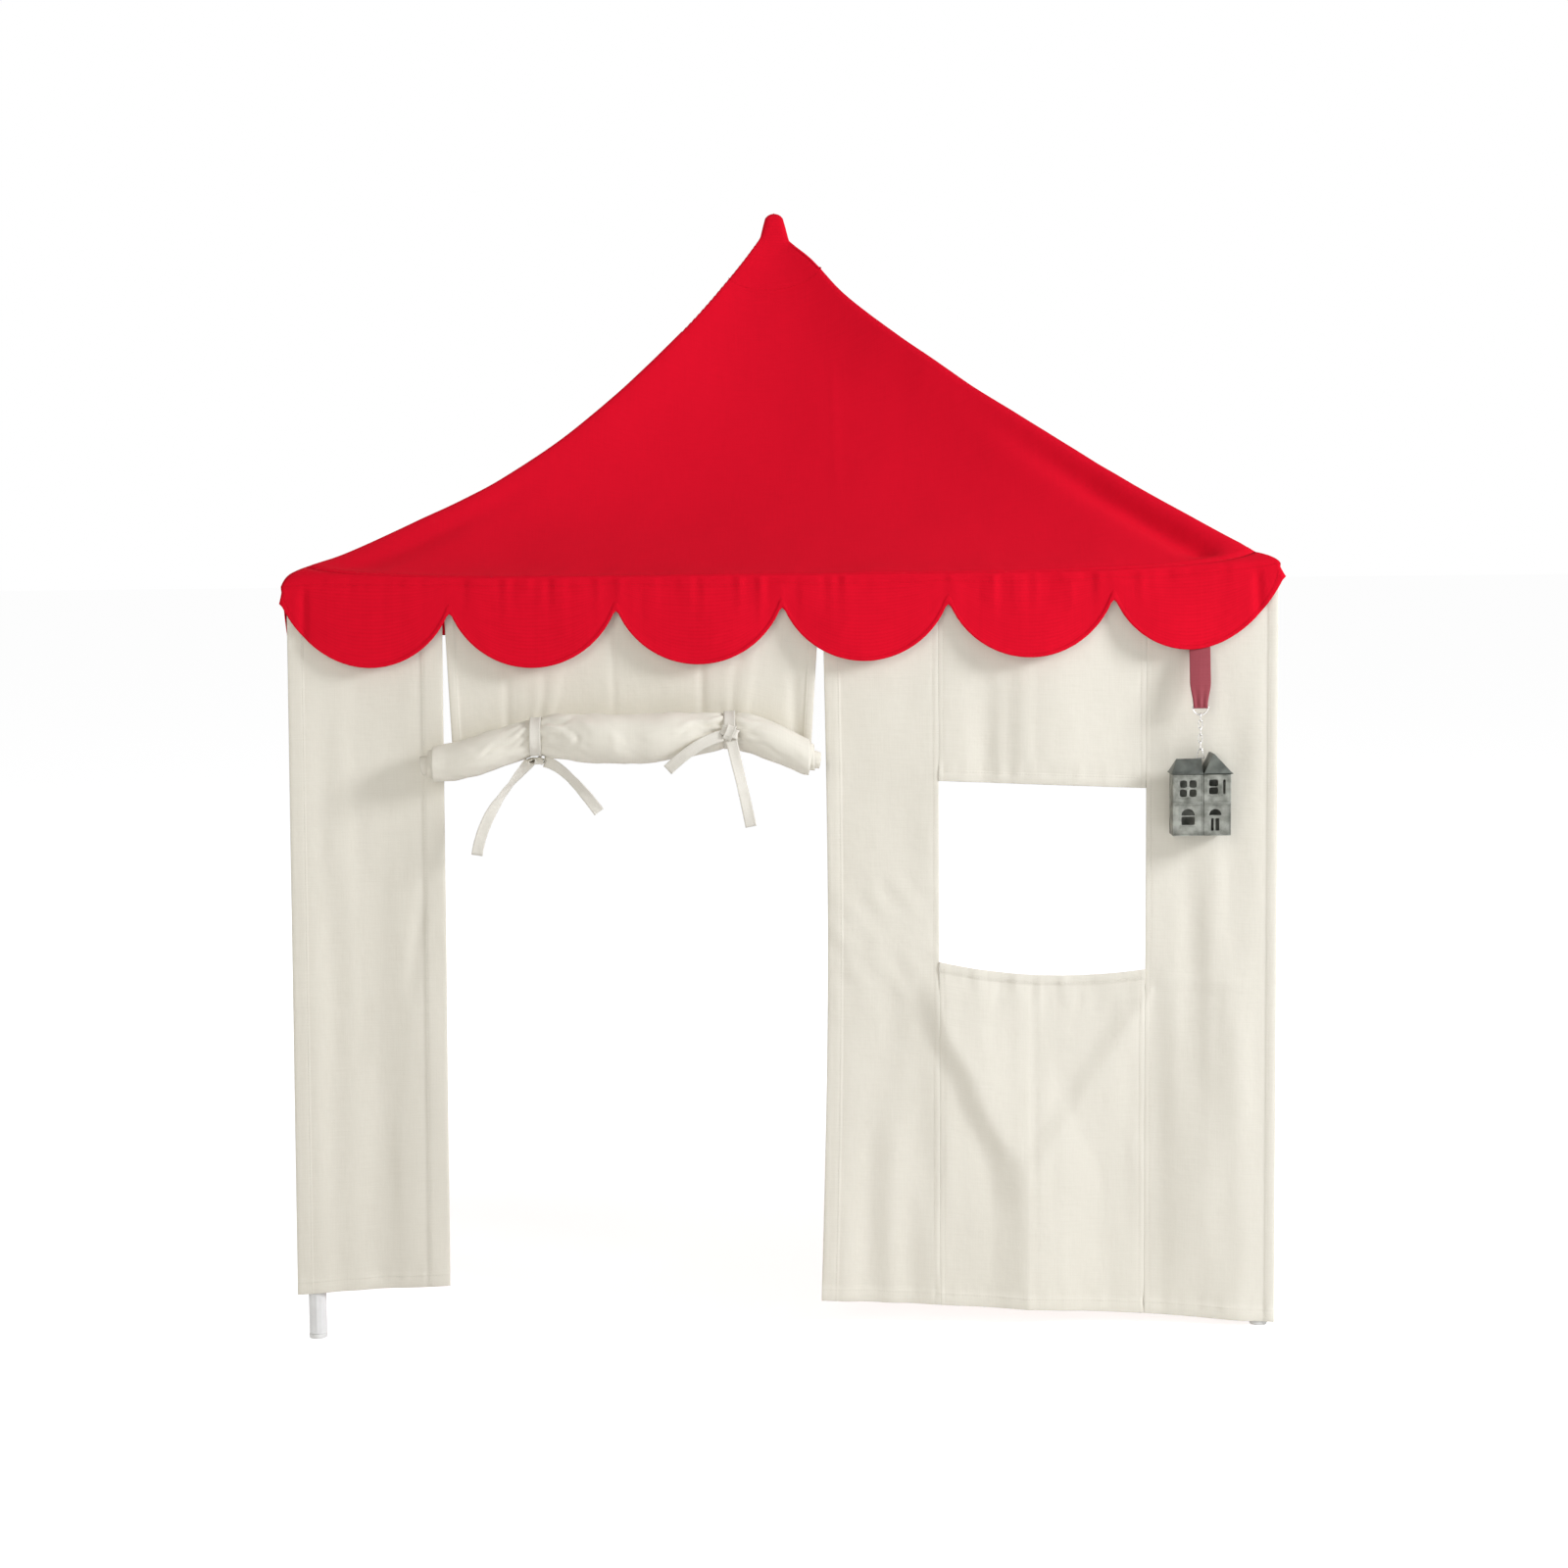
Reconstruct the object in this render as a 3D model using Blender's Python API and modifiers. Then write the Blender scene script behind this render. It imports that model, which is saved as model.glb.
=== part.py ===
"""A child's free-standing play tent: a white tube frame with cotton walls and a scalloped red canopy.

Metres, +Z up. The front, with the doorway and the window, faces -Y, and +X is to the right of it.
The origin is on the floor, in the middle of the tent's bounding box.
The cloth hangs on the rails by sleeves, the canopy stands on a king post, and the back is open.
"""

import math

import bmesh
import bpy
from mathutils import Vector

# Overall sizes
WIDTH = 1.200  # across the front corner tips of the canopy
DEPTH = 0.800  # the same, front to back
HEIGHT = 1.397  # floor to the top of the knob
RAIL_HEIGHT = 0.9185  # floor to the centre lines of the rails and spokes

# Cloth and fits
CLOTH = 0.0012
WELD = 0.000001  # points closer than this are one
FIT = 0.0005  # between a cloth and what it lies on
SEAM_GAP = 0.0004  # between two cloths where they are sewn together
WALL_INSET = 0.006  # from the canopy's corner tips in to the walls' outer faces

# Frame
TUBE_R = 0.011
TUBE_WALL = 0.0012
SPOKE_R = 0.008
TUBE_SIDES = 12
SOCKET_ARM = 0.045  # corner block's centre to where the tubes start
HUB_ARM = 0.040
SPIGOT = 0.028  # how far a plastic spigot reaches into its tube
SPIGOT_FIT = 0.0003
ARM_RELIEF = 0.0005  # a socket arm is thinner than its tube by this
ARM_STEP = 0.0003  # and each further arm of a corner block by this much more
BUTT_GAP = 0.0003  # between two faces that butt
FOOT_FLANGE = 0.006
KNOB_PLAY = 0.0010  # between the wooden ball under the peak and the cloths over it
BALL_NECK = 0.004  # how deep the king post's plug stands in the ball

# Canopy
SEAM_INSET = 0.003  # from the corner tips in to the roof seam
CORNER_RISE = 0.020  # the roof seam is this much higher at the corners
CORNER_RISE_POWER = 6
LEFT_SAG_SHARE = 0.166  # how far the left hips hang below a straight line, of the roof's rise
RIGHT_SAG_SHARE = 0.0927
LEFT_SAG_POWER = 0.85  # where along the hip it hangs lowest
RIGHT_SAG_POWER = 0.55
DISH_SHARE = 0.097  # how far the middle of each roof face lies below its hips, of the rise
PEAK_R = 0.0140  # the cloth's radius over the knob
PEAK_ROUND = 0.06  # share of the slope over which the peak turns from round to oblong
CORNER_POWER = 16  # of the superellipse that the roof seam follows
DOME_RING_SHARES = (0, 0.49, 0.85)  # of the peak's radius, for the rings that lie on the knob
CANOPY_RING_SHARES = (0.032, 0.06, 0.105, 0.17, 0.26, 0.39, 0.56, 0.78, 1)
PATCH_RINGS = 6  # how many rings the peak patch covers

# Valance
FRONT_SCALLOPS = 6
SIDE_SCALLOPS = 4
SCALLOP_DEPTH = 0.070
LEFT_CUSP_DROP = 0.041  # seam to the points between the scallops, at the left end
RIGHT_CUSP_DROP = 0.029  # the same at the right end
TIP_LIFT = 0.012  # the outer points are higher by this
TIP_POWER = 8  # how close to the corners the valance changes
SHOULDER_DROP = 0.008
SHOULDER_INSET = 0.0015
SHOULDER_CORNER_DROP = 0.007
FRONT_FLARE = 0.015  # how far the scallops stand out at their lower edge
SIDE_FLARE = 0.008
SCALLOP_COLUMNS = 6
VALANCE_ROWS = 3

# Front wall, from left to right, as shares of its width; the doorway takes what they leave
LEFT_PANEL_SHARE = 0.1566
WINDOW_STRIP_SHARE = 0.1174  # between the doorway and the window
WINDOW_SHARE = 0.2125
RIGHT_STRIP_SHARE = 0.1296
DOORWAY_BOW = 0.008  # how much wider the doorway is halfway down
DOORWAY_LEAN = 0.009  # how far both sides of the doorway swing to the left at the hem
WINDOW_HEAD_DROP = 0.2375  # rail's centre line down to the window's upper left corner
WINDOW_HEIGHT = 0.223
WINDOW_TILT = 0.012  # how much lower the window is at its right side
WINDOW_SAG = 0.012  # how far the sill hangs down in the middle
LEFT_HEM_OUTER = 0.057
LEFT_HEM_INNER = 0.065
RIGHT_HEM_INNER = 0.034
RIGHT_HEM_OUTER = 0.005
LEFT_SIDE_HEM = 0.060
RIGHT_SIDE_HEM = 0.006
SLEEVE_TAIL = 0.022  # how far a sleeve hangs down behind its rail
SLEEVE_NOTCH = 0.040  # a post's centre line to where a sleeve closes round its rail
SLEEVE_STEPS = 6
DROP_ROWS = 6
FRONT_FOLD = 0.006
SIDE_FOLD = 0.010
APRON_FOLD = 0.009
CORNER_FOLD = 0.006
FOLD_POWER = 3  # how quickly the folds fade out towards the rail

# Door cloth, rolled up and tied
DOOR_HEADER_DROP = 0.020  # rail's centre line down to the header's lower edge
DOOR_LEFT_GAP = 0.0015  # between the door cloth's upper corners and the doorway's sides
DOOR_RIGHT_GAP = 0.003
DOOR_LEFT_TAPER = 0.0075  # how far in the door cloth's sides come down at the roll
DOOR_RIGHT_TAPER = 0.0125
DOOR_TUCK = 0.003  # how far the door cloth reaches below the roll's highest centre
DOOR_FOLD = 0.003
DOOR_FOLDS = 3
DOOR_COLUMNS = 12
DOOR_ROWS = 3
ROLL_CLEARANCE = 0.0005
ROLL_R = 0.0295  # at its thickest, between the ties
ROLL_DROP = 0.2075  # rail's centre line down to the centres of the roll's ends
ROLL_RISE = 0.037  # how much higher its highest centre is
ROLL_LEFT_OVERHANG = 0.017  # past the doorway's left side
ROLL_RIGHT_GAP = 0.004
ROLL_STEPS = 3  # between one place on its route and the next
# Along the roll, up its rise, and its radius, as shares
ROLL_ROUTE_SHARES = (
    (0.000, 0.00, 0.70),
    (0.085, 0.16, 0.78),
    (0.170, 0.51, 0.80),
    (0.273, 0.86, 0.74),
    (0.384, 0.84, 0.95),
    (0.505, 0.78, 1.00),
    (0.640, 0.89, 0.94),
    (0.768, 1.00, 0.72),
    (0.864, 0.70, 0.80),
    (0.949, 0.22, 0.76),
    (1.000, 0.00, 0.62),
)
LEFT_TIE_PLACE = 3  # the ties go round these places of the route
RIGHT_TIE_PLACE = 7
TAPE = 0.0008
TAPE_WIDTH = 0.0135
TIE_SLACK = 0.0026  # between the tape and the roll
TIE_RISE = 0.012  # how far a tie reaches above the roll behind the door cloth
TIE_STEPS = 10
TIE_START, TIE_END = math.radians(62), math.radians(262)  # round the roll, from above its back
TIE_BACK_SHARES = ((0.25, 0.9), (0, 0.6))  # of the tie's radius: out and down, where it turns up
KNOT = 0.017
KNOT_THICKNESS = 0.007
KNOT_ROUNDING = 0.0015
LEFT_LONG_TAIL = 0.135
LEFT_SHORT_TAIL = 0.098
RIGHT_FRONT_TAIL = 0.0885
RIGHT_LOW_TAIL = 0.1165
# What shapes each tail past its knot: to the right as shares of the roll's length, then outwards
# and down as shares of the tail's own length
LEFT_LONG_SHARES = ((-0.060, 0, 0.173), (-0.138, 0, 0.433), (-0.157, 0, 0.840))
LEFT_SHORT_SHARES = ((0.058, 0, 0.157), (0.115, 0, 0.341), (0.161, 0, 0.637))
RIGHT_FRONT_SHARES = ((-0.070, 0.053, 0.102), (-0.117, 0.053, 0.294), (-0.158, 0.030, 0.503))
RIGHT_LOW_SHARES = ((0.019, 0.006, 0.369), (0.039, -0.011, 0.687), (0.052, -0.020, 0.979))
TAIL_STEPS = 6

# Pendant: ribbon, D-ring, chain and house
PENDANT_INSET = 0.092  # from the wall's right edge
HOUSE_STANDOFF = 0.0005  # between the house's roofs and the wall
RIBBON_WIDTH = 0.025
RIBBON_TIP_WIDTH = 0.0165
RIBBON_CLOTH = 0.0005
RIBBON_SEAM_DROP = 0.069  # roof seam down to the ribbon's top, behind the valance
RIBBON_LENGTH = 0.0944  # top to the D-ring's bar
RIBBON_TAPER = 0.0305  # the bar up to where the ribbon has its full width
RIBBON_STEPS = 4
RING_R = 0.0098
RING_WIRE_R = 0.0009
LINK_COUNT = 5
LINK_LENGTH = 0.0102  # between the wire centres at its two ends
LINK_R = 0.0024
LINK_WIRE_R = 0.0007
LINK_GAP = 0.0003
EYE_HEIGHT = 0.0125
EYE_HALF_WIDTH = 0.0045
HOUSE_DEPTH = 0.029
HOUSE_SHEET = 0.0010
ROOF_SHEET = 0.0014  # of its roofs, which slope
HOUSE_HEIGHT = 0.074  # floor to eaves
LEFT_WING_WIDTH = 0.0365
RIGHT_WING_WIDTH = 0.0330
WING_GAP = 0.0005
RIDGE_RISE = 0.0178
GABLE_RISE = 0.0245
ROOF_OVERHANG = 0.0022
RIDGE_SHARE = 0.62  # of the left wing's width
GABLE_PEAK_SHARE = 0.36  # of the right wing's width, from its left
SLOT_SHARE = 0.75
LEDGE = 0.0012
LEDGE_INSET = 0.0005
LEDGE_HEIGHT = 0.0040
LEDGE_LEVEL = 0.0395  # house floor to the ledge's middle
PANE = 0.0085
PANE_BAR = 0.0030
UPPER_SILL = 0.0500
LOWER_SILL = 0.0130
ARCH_WIDTH = 0.0150
ARCH_HEIGHT = 0.0170
CASEMENT_WIDTH = 0.0105
CASEMENT_HEIGHT = 0.0180
HOUSE_DOOR_WIDTH = 0.0120
HOUSE_DOOR_HEIGHT = 0.0260
CUT = 0.002  # how far a cutter runs past what it cuts

# Worked out from the sizes above
WALL_X = WIDTH / 2 - WALL_INSET
WALL_Y = DEPTH / 2 - WALL_INSET
SLEEVE_R = TUBE_R + FIT + CLOTH
POST_X = WALL_X - SLEEVE_R
POST_Y = WALL_Y - SLEEVE_R
EAVE_HEIGHT = RAIL_HEIGHT + SLEEVE_R + FIT + CLOTH
SEAM_X = WIDTH / 2 - SEAM_INSET
SEAM_Y = DEPTH / 2 - SEAM_INSET
CORNER_CLEARANCE = CLOTH + SEAM_GAP
KNOB_R = PEAK_R - 2 * (CLOTH + FIT) - KNOB_PLAY
KNOB_CENTRE = HEIGHT - PEAK_R
WINDOW_RIGHT = WALL_X - RIGHT_STRIP_SHARE * 2 * WALL_X
WINDOW_LEFT = WINDOW_RIGHT - WINDOW_SHARE * 2 * WALL_X
WINDOW_TOP = RAIL_HEIGHT - WINDOW_HEAD_DROP
DOORWAY_RIGHT = WINDOW_LEFT - WINDOW_STRIP_SHARE * 2 * WALL_X
DOORWAY_LEFT = LEFT_PANEL_SHARE * 2 * WALL_X - WALL_X
ROLL_LEFT = DOORWAY_LEFT - ROLL_LEFT_OVERHANG
ROLL_RIGHT = DOORWAY_RIGHT - ROLL_RIGHT_GAP
ROLL_LOW = RAIL_HEIGHT - ROLL_DROP
ROLL_BACK = WALL_Y + ROLL_CLEARANCE
PENDANT_X = WALL_X - PENDANT_INSET
PENDANT_OUT = WALL_Y + HOUSE_STANDOFF + ROOF_OVERHANG + HOUSE_DEPTH / 2
RIBBON_TOP = EAVE_HEIGHT - RIBBON_SEAM_DROP
RING_BAR_HEIGHT = RIBBON_TOP - RIBBON_LENGTH
FRONT_REACH = ROLL_BACK + 2 * ROLL_R
REAR_REACH = DEPTH / 2 + SIDE_FLARE
CENTRE_Y = (FRONT_REACH - REAR_REACH) / 2

SIDES = {
    "front": (Vector((1, 0, 0)), Vector((0, -1, 0))),
    "right": (Vector((0, 1, 0)), Vector((1, 0, 0))),
    "rear": (Vector((-1, 0, 0)), Vector((0, 1, 0))),
    "left": (Vector((0, -1, 0)), Vector((-1, 0, 0))),
}


# Scene

for old in list(bpy.data.objects):
    bpy.data.objects.remove(old, do_unlink=True)

tent = bpy.data.collections.new("play_tent")
bpy.context.scene.collection.children.link(tent)
cutters = bpy.data.collections.new("cutters")
cutters.hide_render = True
bpy.context.scene.collection.children.link(cutters)

footprint = bpy.data.objects.new("footprint", None)
footprint.location = (0, CENTRE_Y, 0)
tent.objects.link(footprint)


# Materials

def material(name, colour, roughness, metallic=0.0):
    made = bpy.data.materials.new(name)
    made.use_nodes = True
    surface = made.node_tree.nodes["Principled BSDF"]
    surface.inputs["Base Color"].default_value = (*colour, 1)
    surface.inputs["Roughness"].default_value = roughness
    surface.inputs["Metallic"].default_value = metallic
    return made


POWDER_COAT = material("powder_coat", (0.86, 0.86, 0.85), 0.4)
WHITE_PLASTIC = material("white_plastic", (0.82, 0.82, 0.80), 0.5)
PINE = material("pine", (0.72, 0.53, 0.32), 0.6)
RED_COTTON = material("red_cotton", (0.68, 0.009, 0.030), 0.9)
CREAM_COTTON = material("cream_cotton", (0.78, 0.75, 0.68), 0.95)
COTTON_TAPE = material("cotton_tape", (0.76, 0.74, 0.68), 0.95)
MAROON_RIBBON = material("maroon_ribbon", (0.26, 0.030, 0.050), 0.6)
NICKEL = material("nickel", (0.70, 0.69, 0.66), 0.25, 1.0)
ZINC = material("zinc", (0.22, 0.22, 0.20), 0.55, 0.9)


# Building helpers

def add(name, mesh, surface, parent=footprint):
    """A named piece of the tent, placed from the footprint's centre or from another parent."""
    made = bpy.data.objects.new(name, mesh)
    made.data.materials.append(surface)
    made.parent = parent
    tent.objects.link(made)
    return made


def helper(mesh):
    """A shape that only cuts or joins another."""
    made = bpy.data.objects.new("helper", mesh)
    made.hide_render = True
    made.display_type = "WIRE"
    cutters.objects.link(made)
    return made


def baked(made):
    """The object's mesh with its modifiers applied, its loose caps welded."""
    bpy.context.view_layer.update()
    graph = bpy.context.evaluated_depsgraph_get()
    mesh = bpy.data.meshes.new_from_object(made.evaluated_get(graph))
    welded = bmesh.new()
    welded.from_mesh(mesh)
    bmesh.ops.remove_doubles(welded, verts=welded.verts, dist=WELD)
    welded.to_mesh(mesh)
    welded.free()
    return mesh


def combine(first, others, operation):
    """The mesh of first with the others joined to it or cut from it."""
    for other in others:
        change = first.modifiers.new(operation.lower(), "BOOLEAN")
        change.operation = operation
        change.object = other
    mesh = baked(first)
    for used in [first, *others]:
        bpy.data.objects.remove(used, do_unlink=True)
    return mesh


def rod_mesh(radius, start, end):
    """A solid round rod from start to end."""
    start, end = Vector(start), Vector(end)
    shape = bmesh.new()
    bmesh.ops.create_cone(
        shape, cap_ends=True, segments=TUBE_SIDES, radius1=radius, radius2=radius,
        depth=(end - start).length,
    )
    turn = Vector((0, 0, 1)).rotation_difference(end - start).to_matrix()
    bmesh.ops.rotate(shape, cent=(0, 0, 0), matrix=turn, verts=shape.verts)
    bmesh.ops.translate(shape, vec=(start + end) / 2, verts=shape.verts)
    mesh = bpy.data.meshes.new("rod")
    shape.to_mesh(mesh)
    shape.free()
    return mesh


def ball_mesh(radius):
    ball = bmesh.new()
    bmesh.ops.create_uvsphere(ball, u_segments=TUBE_SIDES, v_segments=TUBE_SIDES // 2, radius=radius)
    mesh = bpy.data.meshes.new("ball")
    ball.to_mesh(mesh)
    ball.free()
    return mesh


def box_mesh(low, high):
    low, high = Vector(low), Vector(high)
    shape = bmesh.new()
    bmesh.ops.create_cube(shape, size=1)
    for corner in shape.verts:
        corner.co = Vector(a + (b - a) * (c + 0.5) for a, b, c in zip(low, high, corner.co))
    mesh = bpy.data.meshes.new("box")
    shape.to_mesh(mesh)
    shape.free()
    return mesh


def tube(name, radius, start, end, surface):
    """A hollow tube: its wall's section turned about +Z, then laid from start to end."""
    start, end = Vector(start), Vector(end)
    length = (end - start).length
    bore = radius - TUBE_WALL
    section = bpy.data.meshes.new(name)
    corners = [(radius, 0, length), (radius, 0, 0), (bore, 0, 0), (bore, 0, length)]
    section.from_pydata(corners, [(0, 1), (1, 2), (2, 3), (3, 0)], [])
    made = add(name, section, surface)
    turned = made.modifiers.new("turn", "SCREW")
    turned.steps = turned.render_steps = TUBE_SIDES
    turned.use_smooth_shade = True
    made.location = start
    made.rotation_mode = "QUATERNION"
    made.rotation_quaternion = Vector((0, 0, 1)).rotation_difference(end - start)
    return made


def wire_ring(name, points, radius, parent=footprint):
    """A wire bent round to its own start."""
    curve = bpy.data.curves.new(name, "CURVE")
    curve.dimensions = "3D"
    line = curve.splines.new("POLY")
    line.points.add(len(points) - 1)
    for place, point in zip(line.points, points):
        place.co = (*point, 1)
    line.use_cyclic_u = True
    curve.bevel_depth = radius
    curve.bevel_resolution = 1
    return add(name, curve, NICKEL, parent)


def sheet(name, columns, rows, place, thickness, surface, side=-1.0):
    """A cloth: a grid laid out by place(column, row), given its thickness on its inner side."""
    cloth = bmesh.new()
    bmesh.ops.create_grid(cloth, x_segments=columns, y_segments=rows, size=1)
    for point in cloth.verts:
        column = round((point.co.x + 1) / 2 * columns)
        row = round((point.co.y + 1) / 2 * rows)
        point.co = place(column, row)
    mesh = bpy.data.meshes.new(name)
    cloth.to_mesh(mesh)
    cloth.free()
    made = add(name, mesh, surface)
    shell = made.modifiers.new("thickness", "SOLIDIFY")
    shell.thickness = thickness
    shell.offset = side
    shell.use_even_offset = True
    made.data.shade_smooth()
    return made


def mix(a, b, share):
    return a + (b - a) * share


def on_side(side, along, out, up):
    """A point by its place along a side, its distance out from the tent's middle, and its height."""
    right, outward = SIDES[side]
    return right * along + outward * out + Vector((0, 0, up))


# Frame: posts, rails, corner blocks, feet

CORNERS = {
    "front_left": (-1, -1),
    "front_right": (1, -1),
    "rear_left": (-1, 1),
    "rear_right": (1, 1),
}


def corner_mesh():
    """The block at the front left corner, about its own centre: four arms and their spigots."""
    to_hub = Vector((POST_X, POST_Y, 0)).normalized()
    arms = (
        (Vector((0, 0, -1)), TUBE_R, ARM_RELIEF),
        (Vector((1, 0, 0)), TUBE_R, ARM_RELIEF + ARM_STEP),
        (Vector((0, 1, 0)), TUBE_R, ARM_RELIEF + 2 * ARM_STEP),
        (to_hub, SPOKE_R, ARM_RELIEF),
    )
    block = helper(ball_mesh(TUBE_R))
    pieces = []
    for direction, radius, relief in arms:
        start = direction * TUBE_R / 2
        pieces.append(helper(rod_mesh(radius - relief, start, direction * SOCKET_ARM)))
        core = radius - TUBE_WALL - SPIGOT_FIT
        end = direction * (SOCKET_ARM + SPIGOT)
        pieces.append(helper(rod_mesh(core, direction * SOCKET_ARM / 2, end)))
    return combine(block, pieces, "UNION")


def foot_mesh():
    """A plug for a post's lower end: a flange on the floor and a spigot up the bore."""
    flange = helper(rod_mesh(TUBE_R, (0, 0, 0), (0, 0, FOOT_FLANGE)))
    core = TUBE_R - TUBE_WALL - SPIGOT_FIT
    spigot = helper(rod_mesh(core, (0, 0, FOOT_FLANGE / 2), (0, 0, FOOT_FLANGE + SPIGOT)))
    return combine(flange, [spigot], "UNION")


def build_frame():
    block_mesh = corner_mesh()
    plug_mesh = foot_mesh()
    for place, (x, y) in CORNERS.items():
        corner = Vector((x * POST_X, y * POST_Y, RAIL_HEIGHT))
        block = add("corner_block_" + place, block_mesh, WHITE_PLASTIC)
        block.location = corner
        block.scale = (-x, -y, 1)
        foot = add("foot_" + place, plug_mesh, WHITE_PLASTIC)
        foot.location = (x * POST_X, y * POST_Y, 0)
        low = Vector((corner.x, corner.y, FOOT_FLANGE + BUTT_GAP))
        high = Vector((corner.x, corner.y, RAIL_HEIGHT - SOCKET_ARM - BUTT_GAP))
        tube("post_" + place, TUBE_R, low, high, POWDER_COAT)
        inward = Vector((-corner.x, -corner.y, 0)).normalized()
        near = corner + inward * (SOCKET_ARM + BUTT_GAP)
        middle = Vector((0, 0, RAIL_HEIGHT))
        tube("spoke_" + place, SPOKE_R, near, middle - inward * (HUB_ARM + BUTT_GAP), POWDER_COAT)
    reach_x = POST_X - SOCKET_ARM - BUTT_GAP
    reach_y = POST_Y - SOCKET_ARM - BUTT_GAP
    for side, y in (("front", -POST_Y), ("rear", POST_Y)):
        ends = [(x, y, RAIL_HEIGHT) for x in (-reach_x, reach_x)]
        tube("rail_" + side, TUBE_R, *ends, POWDER_COAT)
    for side, x in (("left", -POST_X), ("right", POST_X)):
        ends = [(x, y, RAIL_HEIGHT) for y in (-reach_y, reach_y)]
        tube("rail_" + side, TUBE_R, *ends, POWDER_COAT)


# Frame: hub, king post and knob

def hub_mesh():
    arms = [Vector((x * POST_X, y * POST_Y, 0)).normalized() for x, y in CORNERS.values()]
    arms.append(Vector((0, 0, 1)))
    middle = helper(rod_mesh(TUBE_R, (0, 0, -TUBE_R), (0, 0, TUBE_R)))
    pieces = []
    for direction in arms:
        pieces.append(helper(rod_mesh(SPOKE_R - ARM_RELIEF, (0, 0, 0), direction * HUB_ARM)))
        core = SPOKE_R - TUBE_WALL - SPIGOT_FIT
        end = direction * (HUB_ARM + SPIGOT)
        pieces.append(helper(rod_mesh(core, direction * HUB_ARM / 2, end)))
    return combine(middle, pieces, "UNION")


def build_king_post():
    hub = add("spoke_hub", hub_mesh(), WHITE_PLASTIC)
    hub.location = (0, 0, RAIL_HEIGHT)
    foot = (0, 0, RAIL_HEIGHT + HUB_ARM + BUTT_GAP)
    tube("king_post", SPOKE_R, foot, (0, 0, KNOB_CENTRE - KNOB_R - BUTT_GAP), POWDER_COAT)
    core = SPOKE_R - TUBE_WALL - SPIGOT_FIT
    plug = helper(rod_mesh(core, (0, 0, -KNOB_R - SPIGOT), (0, 0, BALL_NECK - KNOB_R)))
    knob = add("peak_knob", combine(helper(ball_mesh(KNOB_R)), [plug], "UNION"), PINE)
    knob.location = (0, 0, KNOB_CENTRE)


# Canopy: the roof cloth and the patch that strengthens its peak

def seam_shape(along_share, ring_share):
    """How far a superellipse draws the outline in at this share of a side."""
    power = mix(2, CORNER_POWER, min(1, ring_share / (2 * PEAK_ROUND)))
    return (abs(along_share) ** power + 1) ** (-1 / power)


def eave_height(along_share):
    return EAVE_HEIGHT + CORNER_RISE * abs(along_share) ** CORNER_RISE_POWER


def roof_height(along_share, across_share, ring_share):
    """Height by the share along its face, the share from left to right, and the share down."""
    eave = eave_height(along_share)
    to_right = (across_share + 1) / 2
    bend = ring_share ** mix(LEFT_SAG_POWER, RIGHT_SAG_POWER, to_right)
    sag = 4 * mix(LEFT_SAG_SHARE, RIGHT_SAG_SHARE, to_right) * bend * (1 - bend)
    dish = 4 * DISH_SHARE * ring_share * (1 - ring_share) * (1 - along_share**2)
    return mix(HEIGHT, eave, ring_share) - (sag + dish) * (HEIGHT - EAVE_HEIGHT)


def dome_point(x_step, y_step, ring):
    """A point of the dome over the knob."""
    radius = PEAK_R * DOME_RING_SHARES[ring]
    around = Vector((x_step, y_step, 0)).normalized() * radius
    return around + Vector((0, 0, KNOB_CENTRE + math.sqrt(PEAK_R**2 - radius**2)))


def roof_point(column, row, rings):
    """A square grid laid on the roof: its middle is the peak and its diagonals are the hips."""
    x_step, y_step = column - rings, row - rings
    ring = max(abs(x_step), abs(y_step))
    if ring < len(DOME_RING_SHARES):
        return dome_point(x_step, y_step, ring)
    share = CANOPY_RING_SHARES[ring - len(DOME_RING_SHARES)]
    half_x = SEAM_X * share
    half_y = half_x + (SEAM_Y - SEAM_X) * share * (1 - math.exp(-((share / PEAK_ROUND) ** 2)))
    if abs(y_step) == ring:
        along = x_step / ring
        drawn = seam_shape(along, share)
        height = roof_height(along, along, share)
        return Vector((half_x * along * drawn, math.copysign(half_y, y_step) * drawn, height))
    along = y_step / ring
    drawn = seam_shape(along, share)
    height = roof_height(along, math.copysign(1, x_step), share)
    return Vector((math.copysign(half_x, x_step) * drawn, half_y * along * drawn, height))


def crease_hips(made, rings):
    """Joins the grid's corners along the four hips, so that the hips stay straight."""
    roof = bmesh.new()
    roof.from_mesh(made.data)
    roof.verts.ensure_lookup_table()
    across = 2 * rings + 1
    for x_turn, y_turn in CORNERS.values():
        for ring in range(rings):
            ends = []
            for step in (ring, ring + 1):
                ends.append(roof.verts[(rings + step * y_turn) * across + rings + step * x_turn])
            bmesh.ops.connect_verts(roof, verts=ends)
    roof.to_mesh(made.data)
    roof.free()


def build_canopy():
    rings = len(DOME_RING_SHARES) + len(CANOPY_RING_SHARES) - 1
    canopy = sheet(
        "canopy_roof", 2 * rings, 2 * rings,
        lambda column, row: roof_point(column, row, rings), CLOTH, RED_COTTON,
    )
    crease_hips(canopy, rings)
    below = -1 - 2 * (CLOTH + FIT) / CLOTH
    patch = sheet(
        "peak_patch", 2 * PATCH_RINGS, 2 * PATCH_RINGS,
        lambda column, row: roof_point(column, row, PATCH_RINGS), CLOTH, RED_COTTON, below,
    )
    crease_hips(patch, PATCH_RINGS)


# Valance: a scalloped strip under the roof seam on each side

def scallop_drop(step):
    """How far the lower edge is below its points, at a step along the valance."""
    from_middle = (step / SCALLOP_COLUMNS) % 1 * 2 - 1
    chord = WIDTH / FRONT_SCALLOPS / 2
    radius = (chord**2 + SCALLOP_DEPTH**2) / (2 * SCALLOP_DEPTH)
    return math.sqrt(radius**2 - (chord * from_middle) ** 2) - (radius - SCALLOP_DEPTH)


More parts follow.
